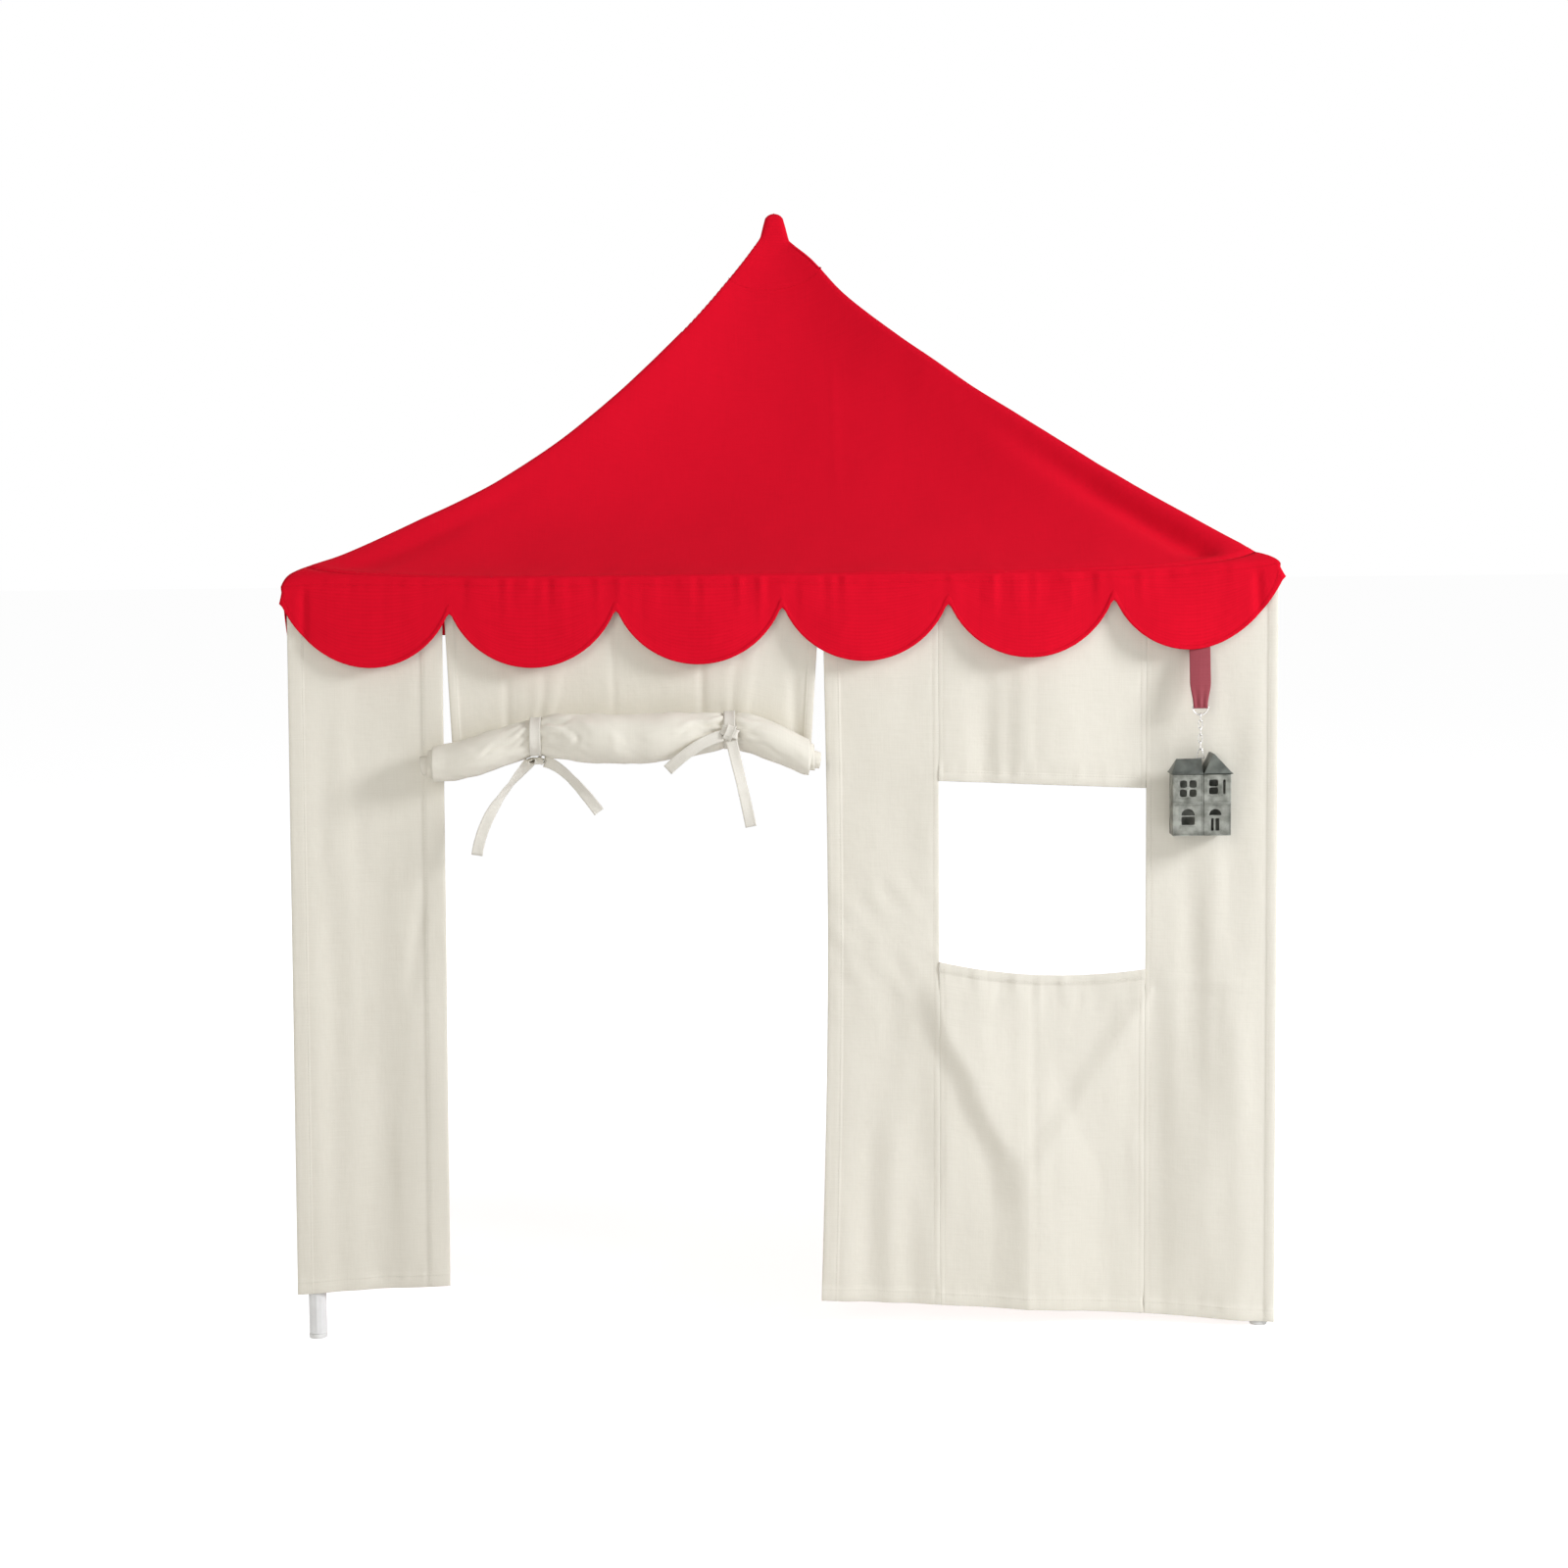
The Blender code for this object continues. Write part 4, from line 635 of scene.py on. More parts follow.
def sleeve(side, along, ends, rail_out):
    """Rows of points over the rail and down behind it, closed up to ends between the corner blocks."""
    rows = []
    for turn in np.linspace(0, math.pi, 13)[1:]:
        out, rise = rail_out + SLEEVE_R * math.cos(turn), RAIL_HEIGHT + SLEEVE_R * math.sin(turn)
        rows.append(on_side(side, mix(along, ends, ease(turn, 0.0, 0.7)), out, rise))
    for fall in (0.4, 0.75, 1.0):
        rows.append(on_side(side, ends, rail_out - SLEEVE_R, RAIL_HEIGHT - SLEEVE_TAIL * fall))
    return np.stack(rows)


wall_stitches = {}


def wall_cloth(name, side, left, right, hem, relief, hems, seed, sewn=(), top=None, step=0.005):
    """A wall cloth as a grid, from its hem up to its rail and over it in a sleeve, or up to a top
    edge. left, right, hem and top are functions. relief adds its folds, hems says how wide its
    left, right, lower and upper hems are, 0 for none, and sewn names its sides that are seams."""
    post, rail_out = [half - SLEEVE_R for half in (WALL if side == "front" else WALL[::-1])]
    width = float(right(WIDTH_AT) - left(WIDTH_AT))
    near_left, near_right = edge_steps(hems[0], "left" in sewn), edge_steps(hems[1], "right" in sewn)
    across = stations(width, step, near_left + [width - place for place in near_right])
    share = (across / width)[None, :]
    low, high = hem(share), straight(RAIL_HEIGHT)(share) if top is None else top(share)
    tall = float(np.max(high)) - float(np.min(low))
    up = stations(tall, step * 1.5, edge_steps(hems[2]) + [tall - place for place in edge_steps(hems[3])])
    up_share = (up / tall)[:, None]
    height = mix(low, high, up_share)
    along = mix(left(height), right(height), share)
    inward = relief(along, height) * (1 - np.clip(height / RAIL_HEIGHT, 0, 1) ** 3)
    loose = ease(RAIL_HEIGHT - height, 0.0, 0.05) * ease(post + SLEEVE_R - np.abs(along), 0.010, 0.045)
    inward = inward + CANVAS_CRUMPLE * crumple(along, height * 0.45, 0.05, 101) * loose
    edges = np.broadcast_arrays(share * width, (1 - share) * width, up_share * tall, (1 - up_share) * tall)
    proud = sewn_relief(edges, along, height, hems, sewn, seed)
    points = on_side(side, along, rail_out + SLEEVE_R - inward + proud, height)
    wall_stitches[name] = (side, stitch_lines(points, across, up, hems, sewn))
    if top is None:
        limit = post - SLEEVE_NOTCH
        ends = [np.clip(edge(RAIL_HEIGHT), -limit, limit) for edge in (left, right)]
        points = np.concatenate([points, sleeve(side, along[-1], mix(*ends, share[0]), rail_out)])
    node = name.replace("_cloth", "")
    return cloth_piece(name, points, cloth_places(points), CREAM_CANVAS, "tent", "cream_cotton", [node])


def turned(along, *turns):
    """Changes in depth round places, where the cloth turns to the left by a slope over a width."""
    return sum(slope * width * np.tanh((along - middle) / width) for middle, width, slope in turns)


def between(height, low, high, blur):
    return ease(height, low - blur, low + blur) * (1 - ease(height, high - blur, high + blur))


def ramp(value, start, end):
    return np.clip((value - start) / (end - start), 0, 1)


# The folds of the walls, each by its place, its width and its slope, and the streaks of the left
# panel, each by its depth, its width, its length and its seed.
LEFT_STRIP_FOLDS = ((0.083, 0.014, -0.20), (0.115, 0.010, 0.20), (0.138, 0.009, -0.18), (0.170, 0.018, 0.10))
HEADER_FOLDS = (
    (0.2276, 0.014, -0.24), (0.2560, 0.008, 0.55), (0.2665, 0.005, -0.30),
    (0.2800, 0.009, 0.45), (0.3138, 0.003, 0.30), (0.3750, 0.035, -0.24),
)
RIGHT_STRIP_FOLDS = ((0.510, 0.011, 0.24), (0.484, 0.010, -0.18), (0.548, 0.018, -0.10))
FOLD_LINE = (  # height and place of the fold under the window
    (0.020, 0.3010), (0.160, 0.3000), (0.195, 0.2900), (0.237, 0.2640),
    (0.273, 0.2430), (0.318, 0.2200), (0.362, 0.1980), (0.405, 0.1860), (0.470, 0.1850),
)
PANEL_STREAKS = ((0.0003, 0.011, 0.20, 311), (0.0011, 0.026, 0.10, 312), (0.0018, 0.06, 0.16, 313))
PACKED_AT, PACKED_DEPTH, PACKED_WIDTH = 0.3045, 0.0011, 0.0020
BELLY, BELLY_TOP, BELLY_WANDER, BELLY_RIGHT = 0.0095, 0.452, 0.0040, 0.395
SECOND_BELLY, SECOND_AT, SECOND_SLOPE, SECOND_RIGHT = 0.0040, (0.340, 0.265), 0.633, 0.450
HANG_BACK, CORNER_BACK, NEAR_POST, SIDE_WAVE, SIDE_FOLD = 0.0075, 0.0004, (0.016, 0.050), 0.0075, 0.003
# Heights between which folds lie, and how softly they end.
LOW_STRIP, RIGHT_STRIP, PACKED_OUT = (0.20, 0.32), (0.22, 0.62), (0.47, 0.66, 0.01)
OVER_WINDOW, BESIDE_WINDOW = (0.68, 1.0, 0.03), (0.36, 0.58, 0.10)
DIAGONALS, SECOND_HEIGHTS, PANEL_FOLD = (0.40, 0.58, 0.05), (0.19, 0.42, 0.05), (0.60, 0.80, 0.06)


def apron_belly(along, height):
    """The slack cloth under the sill: it bellies out, and turns under along the fold line."""
    line = np.interp(height, *zip(*FOLD_LINE))
    below, spread = ease(0.245 - height, 0.0, 0.07), ease(0.38 - height, 0.0, 0.24)
    line = line + BELLY_WANDER * soft_noise(height / 0.035, 0 * along, 305) * (1 - below)
    full = BELLY * ease(BELLY_TOP - height, 0.0, 0.045) * ease(height, -0.10, 0.08)
    up = ease(along, line - mix(0.030, 0.052, below), line + mix(0.006, 0.0015, below))
    out = full * up * (1 - ramp(along, line + 0.003, mix(PACKED_AT + 0.012, BELLY_RIGHT, spread)))
    second = SECOND_AT[0] + (height - SECOND_AT[1]) * SECOND_SLOPE
    rise = ease(along, second - 0.022, second + 0.014) * (1 - ramp(along, second + 0.010, SECOND_RIGHT))
    return out + SECOND_BELLY * rise * between(height, *SECOND_HEIGHTS)


def right_wall_folds(along, height):
    """One relief for the strips, header and apron, which are sewn together. Inward is positive."""
    low, strip_low = 1 - ease(height, *LOW_STRIP), 1 - ease(height, *RIGHT_STRIP)
    out = turned(along, (0.060, 0.008, 0.09)) + low * turned(along, *LEFT_STRIP_FOLDS)
    out = out + between(height, *OVER_WINDOW) * turned(along, *HEADER_FOLDS)
    out = out + apron_belly(along, height)
    out = out - PACKED_DEPTH * hill(along, PACKED_AT, PACKED_WIDTH) * (1 - between(height, *PACKED_OUT))
    out = out + turned(along, (0.468, 0.010, 0.15)) * strip_low
    out = out + turned(along, (0.515, 0.060, mix(0.09, 0.19, strip_low)))
    out = out + between(height, *BESIDE_WINDOW) * turned(along, *RIGHT_STRIP_FOLDS)
    diagonal = soft_noise((along + height * 0.8) / 0.020, (height - along) / 0.06, 303)
    diagonal = diagonal * between(height, *DIAGONALS) * (1 - ramp(along, 0.16, 0.22))
    broad = 0.0022 * soft_noise(along / 0.075 + 0.3, height / 0.17, 304)
    streaks = 0.0003 * soft_noise(along / 0.011, height / 0.20 + along * 2, 301)
    streaks = streaks + 0.0009 * soft_noise(along / 0.026 + height * 2.2, height / 0.10, 302)
    near_post = ease(WALL[0] - along, *NEAR_POST)
    return (HANG_BACK - out + broad + streaks + 0.0012 * diagonal) * near_post + CORNER_BACK


def left_panel_folds(along, height):
    low = 1 - height / RAIL_HEIGHT
    out = turned(along, (-0.5500, 0.010, 0.16)) * (0.35 + 0.65 * between(height, *PANEL_FOLD))
    out = out + turned(along, (-0.5247, 0.012, -0.13)) + turned(along + 0.02 * low, (-0.4616, 0.020, 0.13))
    streaks = 0
    for depth, width, length, seed in PANEL_STREAKS:
        streaks = streaks + depth * soft_noise(along / width, height / length, seed)
    folds = (0.0040 - out + streaks) * ease(along + WALL[0], *NEAR_POST)
    return folds + 0.0022 * hill(along - (height - 0.50) * 0.16, -0.447, 0.008) * hill(height, 0.50, 0.07)


def side_folds(along, height):
    waves = (1 - np.cos(2 * np.pi * 3 * (along / (2 * WALL[1]) + 0.5))) / 2
    return SIDE_WAVE * waves + SIDE_FOLD * (hill(along, 0.08, 0.02) + hill(along, -0.19, 0.025))


wall_cloth(
        "front_left_panel_cloth", "front", panel_edge, doorway_left,
        lambda share: mix(*PANEL_HEM_HEIGHTS, share), left_panel_folds,
        (PANEL_HEM, SIDE_HEM, LOW_HEM, 0), 101,
    )
window_left, window_right = straight(WINDOW_LEFT + SEAM), straight(WINDOW_RIGHT - SEAM)
RIGHT_WALL = (  # its pieces: edges, lower edge, hems, seed, seams, top edge, flat size, what carries it
    (
        "window_left_strip_cloth", doorway_right, straight(WINDOW_LEFT - SEAM),
        right_hem(DOORWAY_RIGHT, WINDOW_LEFT), (STRIP_HEM, 0, LOW_HEM, 0), 111, ("right",), None,
        (0.160, 0.980), ["rail_front"],
    ),
    (
        "window_header_cloth", window_left, window_right, window_head,
        (0, 0, HEAD_HEM, 0), 121, ("left", "right"), None, (0.262, 0.310), ["rail_front"],
    ),
    (
        "window_apron_cloth", window_left, window_right, right_hem(WINDOW_LEFT, WINDOW_RIGHT),
        (0, 0, LOW_HEM, NARROW_HEM), 131, ("left", "right"), window_sill,
        (0.262, 0.455), ["window_left_strip_cloth", "window_right_strip_cloth"],
    ),
    (
        "window_right_strip_cloth", straight(WINDOW_RIGHT + SEAM), straight(WALL[0] + POST_WRAP),
        right_hem(WINDOW_RIGHT, WALL[0]), (0, NARROW_HEM, LOW_HEM, 0), 141, ("left",), None,
        (0.166, 0.995), ["rail_front"],
    ),
)
for name, left, right, hem, hems, seed, sewn, top, flat, carriers in RIGHT_WALL:
    piece = wall_cloth(name, "front", left, right, hem, right_wall_folds, hems, seed, sewn, top)
side_end = WALL[1] - CORNER_CLEARANCE
for side, hem_height in (("left", 0.060), ("right", 0.006)):
    side_wall = wall_cloth(
        "side_wall_cloth_" + side, side, straight(-side_end), straight(side_end), straight(hem_height),
        side_folds, (NARROW_HEM, NARROW_HEM, LOW_HEM, 0), 151 + len(side), step=0.007,
    )


# Door cloth.
# A cream canvas panel with hemmed sides. Its top goes over the front rail in a sleeve, and its
# lower part is rolled up. The two ties pull it into upright folds.

DOOR_LEFT, DOOR_RIGHT = DOORWAY_LEFT + 0.0015, DOORWAY_RIGHT - 0.003
DOOR_TAPER = (0.0075, 0.0125)  # left and right
HEADER_LOW = RAIL_HEIGHT - 0.020
ROLL_LOW, ROLL_RISE, ROLL_R, ROLL_ENDS = 0.711, 0.037, 0.0295, (-0.425, 0.0441)
TIE_PLACES = (-0.2969, -0.0648)
DOOR_TOP, DOOR_LOW = HEADER_LOW - 0.0004, ROLL_LOW + ROLL_RISE - 0.003
DOOR_HEM, DOOR_STEP, DOOR_ROWS, DOOR_TUCK = 0.011, 0.0035, 46, 0.004
ROLL_ROUTE = (  # shares along the roll, of its rise and of its radius
    (0, 0, 0.70), (0.085, 0.16, 0.78), (0.170, 0.51, 0.80), (0.273, 0.86, 0.74),
    (0.384, 0.84, 0.95), (0.505, 0.78, 1), (0.640, 0.89, 0.94), (0.768, 1, 0.72),
    (0.864, 0.70, 0.80), (0.949, 0.22, 0.76), (1, 0, 0.62),
)
DOOR_CREASES = (  # place, width, and depth at the top and at the bottom
    (0.014, 0.008, 0, 0.0034), (-0.333, 0.0045, 0.00072, 0.0018),
    (-0.204, 0.004, 0.0016, 0.00064), (-0.098, 0.004, 0.0016, 0.0016),
)
DOOR_SLACK, DOOR_CRUMPLE, DOOR_OUT, TIE_PULL, TIE_FAN = 0.0016, 0.0012, 0.0006, 0.0016, (0.030, 0.012)


def smooth_route(places, steps):
    """Places along a smooth curve through the given ones."""
    places = [np.array(place, float) for place in places]
    ends = [2 * places[0] - places[1], *places, 2 * places[-1] - places[-2]]
    made = []
    for before, start, end, after in zip(ends, ends[1:], ends[2:], ends[3:]):
        for t in np.linspace(0, 1, steps, endpoint=False):
            bend = (2 * before - 5 * start + 4 * end - after) * t**2
            bend = bend + (3 * start - before - 3 * end + after) * t**3
            made.append(start + ((end - before) * t + bend) / 2)
    return np.array([*made, places[-1]])


roll_shares, roll_rises, roll_radii = smooth_route(ROLL_ROUTE, 24).T


def roll_at(x):
    """The roll's centre height and radius at a place along it."""
    share = (x - ROLL_ENDS[0]) / (ROLL_ENDS[1] - ROLL_ENDS[0])
    centre = ROLL_LOW + ROLL_RISE * np.interp(share, roll_shares, roll_rises)
    return centre, ROLL_R * np.interp(share, roll_shares, roll_radii)


door_header = wall_cloth(
    "door_header_cloth", "front", straight(DOOR_LEFT), straight(DOOR_RIGHT), straight(HEADER_LOW),
    lambda along, height: 0 * along, (0, 0, 0, 0), 161, step=0.008,
)

door_width, door_middle = DOOR_RIGHT - DOOR_LEFT, (DOORWAY_LEFT + DOORWAY_RIGHT) / 2
near_edge = edge_steps(DOOR_HEM)
door_across = stations(door_width, DOOR_STEP, near_edge + [door_width - place for place in near_edge])
door_share = (door_across / door_width)[None, :]
down = np.linspace(1, 0, DOOR_ROWS)[:, None]
door_along = mix(DOOR_LEFT + DOOR_TAPER[0] * down, DOOR_RIGHT - DOOR_TAPER[1] * down, door_share)
door_low = np.minimum(DOOR_LOW, roll_at(mix(DOOR_LEFT, DOOR_RIGHT, door_share))[0] - DOOR_TUCK)
door_height = mix(DOOR_TOP, door_low, down)
pulled = DOOR_SLACK + DOOR_SLACK * soft_noise(door_along / 0.055, door_height / 0.3, 172) * down
pulled = pulled + DOOR_CRUMPLE * crumple(door_along, door_height * 0.5, 0.05, 171) * down
for place in TIE_PLACES:
    fan = (door_along - place) / mix(*TIE_FAN, down)
    fan = fan + 0.35 * soft_noise(door_along * 30, door_height * 20, 175)
    creased = 0.5 - 0.5 * np.cos(2 * np.pi * np.clip(fan, -1.5, 1.5))
    pulled = pulled + TIE_PULL * creased**2 * down * (0.6 + 0.4 * np.sign(fan))
for place, width, at_top, at_bottom in DOOR_CREASES:
    pulled = pulled + mix(at_top, at_bottom, down) * hill(door_along, place, width)
door_out = WALL[1] - np.maximum(pulled, -DOOR_OUT)
for share in (door_share, 1 - door_share):
    door_out = door_out + hem_rise(share * door_width, DOOR_HEM)
door_points = on_side("front", door_along, door_out, door_height)
door = cloth_piece(
    "door_cloth", door_points, cloth_places(door_points), CREAM_CANVAS, None, "cream_cotton", ["door_panel"]
)
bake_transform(door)


# Rolled part of the door.
# The lower part of the same cloth, rolled outwards. Its outer layer comes down behind, goes under
# and up the front, over the top and inside. The inner layers stand out at both ends, and the ties
# pinch it.

ROLL_TURNS, STEPS_A_TURN, ROLL_COLUMNS = 4.6, 44, 245
LAYER = 0.15  # each turn's share of the radius
ROLL_BACK, ROLL_CLEAR, FLAT_START, FLAT_STEP = 0.3945, 0.0008, 0.35, 0.0033
ROLL_CLOTH_ENDS, LAYERS_OUT, ROLL_SINK = (-0.4165, 0.0265), (0.0048, 0.0044), 0.0016
PINCH, PINCH_WIDTH, BULGE, BULGE_AT, BULGE_WIDTH = 0.09, 0.0085, 0.05, 0.020, 0.012
ROLL_OVAL, ROLL_CRUMPLE, ROLL_RIPPLE, PLEATS_REACH, PLEATS_FROM = 0.05, 0.095, 0.035, 0.024, 0.006
LOBE_FROM, LOBE_BY, LOBE_WIDTH, LOBE_DEPTH = 0.012, 0.040, 0.0042, 0.075
FOLD_FROM, FOLD_BY, FOLD_WIDTH, FOLD_DEPTH = 0.010, 0.055, 0.0040, 0.070
TIE_RIPPLES = (  # waves round the roll, where they start, their turn from tie to tie, lean and depth
    (5, 0, 2, 40, 0.095), (9, 1.3, 3, -60, 0.055),
)
ROLL_CREASES = (  # side of the tie, angle there, how fast it falls, depth and length
    (-1, 3.50, 6.5, 0.12, 0.10), (-1, 2.70, -8.0, 0.08, 0.07), (-1, 3.95, 1.0, 0.07, 0.05),
    (1, 3.85, -7.0, 0.11, 0.07), (1, 3.15, -12.0, 0.10, 0.05), (1, 2.60, 3.0, 0.07, 0.09),
)


def roll_swell(x, angle, rolled):
    """How much fuller or thinner than a plain round the roll is. The angle goes from the back
    down and under; rolled is the angle with whole turns added."""
    swell = -ROLL_OVAL * np.cos(2 * angle + 0.5)
    front = np.mod(angle, 2 * math.pi)
    for number, place in enumerate(TIE_PLACES):
        away = np.abs(x - place)
        swell = swell - PINCH * hill(away, 0, PINCH_WIDTH) + BULGE * hill(away, BULGE_AT, BULGE_WIDTH)
        near = np.exp(-away / PLEATS_REACH) * (1 - hill(away, 0, PLEATS_FROM))
        for waves, start, turn, lean_by, depth in TIE_RIPPLES:
            swell = swell + depth * np.cos(waves * angle + start + turn * number + x * lean_by) * near
        for side, start, fall, deep, long in ROLL_CREASES:
            away = (x - place) * side
            line = start - fall * away + 0.25 * number + 0.12 * np.sin(away * 160 + number)
            crease = hill(front, line, 0.13) - 0.6 * hill(front, line + 0.24, 0.15)
            swell = swell - deep * crease * ease(away, 0.004, 0.014) * (1 - ease(away, 0.3 * long, long))
    swell = swell + ROLL_CRUMPLE * crumple(x / 0.9, rolled * 0.016, 0.05, 181)
    swell = swell + ROLL_RIPPLE * soft_noise(x / 0.014 + rolled * 2, rolled * 1.9, 183)
    # A soft lobe beside the left tie, and a fold that runs into the right one.
    lobe_edge = TIE_PLACES[0] + LOBE_FROM + LOBE_BY * hill(front, 3.15, 0.75)
    swell = swell - LOBE_DEPTH * hill(x, lobe_edge, LOBE_WIDTH) * hill(front, 3.3, 1.1)
    fold_edge = TIE_PLACES[1] - FOLD_FROM - FOLD_BY * ramp(front, 2.6, 4.5) ** 1.6
    return swell - FOLD_DEPTH * hill(x, fold_edge, FOLD_WIDTH) * hill(front, 3.7, 0.8)


roll_turns = np.linspace(0, ROLL_TURNS, int(ROLL_TURNS * STEPS_A_TURN))[:, None]
out_by = np.minimum(roll_turns, 4) + 0.5 * np.sin(roll_turns * 4.0)
roll_left = ROLL_CLOTH_ENDS[0] - LAYERS_OUT[0] * out_by
roll_right = ROLL_CLOTH_ENDS[1] + LAYERS_OUT[1] * out_by
roll_x = mix(roll_left, roll_right, np.linspace(0, 1, ROLL_COLUMNS)[None, :])
roll_angle = 2 * math.pi * roll_turns
roll_height, roll_radius = roll_at(roll_x)
spiral = roll_radius * (1 + roll_swell(roll_x, roll_angle, roll_angle)) * (1 - LAYER * roll_turns)
roll_out = np.maximum(ROLL_BACK + roll_radius - spiral * np.cos(roll_angle), WALL[1] + ROLL_CLEAR)
# The hollow middle of the roll sinks, so its layers crowd together below.
sunk = ROLL_SINK * (1 - spiral / roll_radius)
roll_points = on_side("front", roll_x, roll_out, roll_height - spiral * np.sin(roll_angle) - sunk)
unrolled = FLAT_START - np.cumsum(np.full_like(roll_x, FLAT_STEP), axis=0)
roll_cloth = cloth_piece(
    "door_roll_cloth", roll_points, np.stack([roll_x, unrolled], axis=-1),
    CREAM_CANVAS, "door_roll", "cream_cotton", ["door_roll"], offset=1.0,
)


# Door ties.
# Two flat woven cotton tapes, each tied round the roll. The left one is knotted under the roll and
# the right one on its front, and their four ends hang free.

TAPE_WIDTH, TAPE, TAPE_RIPPLE, TAPE_PROUD = 0.0135, 0.0008, 0.0004, 0.0026
BAND_FROM, BAND_TO = 62, 262  # degrees round the roll
BAND_PROUD, BAND_MOST, BAND_GAP, BAND_UP = 0.0016, 0.0030, 0.003, 0.012
BAND_CUP, KNOT_CUP, TAIL_CUP = 0.0006, 0.0012, 0.0005  # how far a tape's edges bend back
KNOT, KNOT_SEAT = 0.019, 0.0039
KNOT_LAYERS = ((0.35, 1.0, 0.0112, 0.0023), (2.0, 0.86, 0.0104, 0.0033))  # slant, length, width, depth
TAILS = (  # side, end, way out of the knot, length, curve in shares, twists in degrees, seed
    (
        "left", "long", (-0.008, 0, -0.001), 0.135,
        ((-0.060, 0, 0.173), (-0.138, 0, 0.433), (-0.157, 0, 0.840)), (8, 40, 62, 50, 20, 12, 6), 3,
    ),
    (
        "left", "short", (0.009, 0, -0.001), 0.098,
        ((0.062, 0, 0.040), (0.112, 0, 0.330), (0.158, 0, 0.640)), (0, -20, -34, -14, 4), 5,
    ),
    (
        "right", "front", (-0.008, 0, -0.004), 0.0885,
        ((-0.070, 0.053, 0.102), (-0.117, 0.053, 0.294), (-0.158, 0.030, 0.503)), (0, 6, -4, -8), 8,
    ),
    (
        "right", "low", (0.002, 0, -0.009), 0.1165,
        ((0.019, 0.006, 0.369), (0.039, -0.011, 0.687), (0.052, -0.020, 0.979)), (0, 14, 22, 10, -4), 13,
    ),
)
COTTON_TAPE = cloth_material(
    "cotton_tape", (0.82, 0.79, 0.71), (0.62, 0.585, 0.51), 0.0007, 0.25, 0.00020, 0.90, 0.05
)


def tape(name, path, acrosses, replaced=(), width=TAPE_WIDTH, cup=0.0, seed=0):
    """A woven tape along a path, with its length. acrosses gives the direction of its width at
    each point, and cup bends its edges back."""
    path, acrosses = np.array(path, float), np.array(acrosses, float)
    acrosses = acrosses / np.linalg.norm(acrosses, axis=-1, keepdims=True)
    out = np.cross(acrosses, np.gradient(path, axis=0))
    out = out / np.maximum(np.linalg.norm(out, axis=-1, keepdims=True), 1e-9)
    gone = np.concatenate([[0], np.cumsum(np.linalg.norm(np.diff(path, axis=0), axis=-1))])
    columns = np.linspace(-0.5, 0.5, 9)
    ripple = TAPE_RIPPLE * soft_noise(gone / 0.011, 0 * gone, seed + 211)[:, None]
    edge = np.where(np.abs(columns) > 0.45, -0.00012, 0)
    lift = -cup * (2 * columns) ** 2 + ripple * np.sin(columns * 5) + edge
    aside = acrosses[:, None] * (columns * width)[None, :, None]
    points = path[:, None] + aside + out[:, None] * lift[..., None]
    places = np.stack(np.meshgrid(columns * width, gone), axis=-1)
    made = cloth_piece(name, points, places, COTTON_TAPE, "door_roll", "cotton_tape", replaced, TAPE, 0.0)
    return made, float(gone[-1])


def tie_band(name, place, replaced):
    """From in front of the door cloth, over the roll and under it, then up behind the door cloth."""
    height, radius = roll_at(place)
    path = []
    for degrees in np.linspace(BAND_FROM, BAND_TO, 46):
        turn = math.radians(degrees)
        swell = roll_swell(place, 2 * math.pi - turn, 0.0)
        reach = min(radius * (1 + max(swell, -0.03)) + BAND_PROUD, radius + BAND_MOST)
        path.append((place, -(ROLL_BACK + radius) + reach * math.cos(turn), height + reach * math.sin(turn)))
    back = -(WALL[1] - CLOTH - BAND_GAP - TAPE_PROUD - TAPE)
    for out, below in ((0.25, 0.9), (0.12, 0.78), (0, 0.6)):
        path.append((place, back - (radius + BAND_GAP) * out, height - (radius + BAND_GAP) * below))
    for rise in np.linspace(-0.4, 1, 12):
        path.append((place, back, height + (radius + BAND_UP) * rise))
    acrosses = [(1, 0, 0.10 * math.sin(step / 9)) for step in range(len(path))]
    return tape(name, path, acrosses, [replaced], cup=BAND_CUP, seed=len(name))


def knot_at(place, on_front):
    height, radius = roll_at(place)
    away = radius + TAPE_PROUD + TAPE + KNOT_SEAT
    if on_front:
        return np.array((place, -(ROLL_BACK + radius) - away, height))
    return np.array((place, -(ROLL_BACK + radius), height - away))


def knot(name, middle, seat, replaced):
    """Two turns of the tape pulled tight over each other. seat points from the knot to the roll."""
    turns = np.linspace(0, 2 * math.pi, 33)[:, None]
    for number, (slant, length, width, deep) in enumerate(KNOT_LAYERS):
        along = np.array((math.cos(slant), 0, 0)) + np.cross(seat, (1, 0, 0)) * math.sin(slant)
        bulge = 1 + 0.12 * np.sin(3 * turns + number)
        ring = along * np.cos(turns) * KNOT * length * 0.5 - np.array(seat) * np.sin(turns) * deep
        acrosses = np.cross(seat, along) + 0.35 * along * np.sin(turns)
        layer, layer_replaced = (name + "_over", ()) if number else (name, [replaced])
        seed = 7 * number + 3
        piece, used = tape(layer, middle + ring * bulge, acrosses, layer_replaced, width, KNOT_CUP, seed)


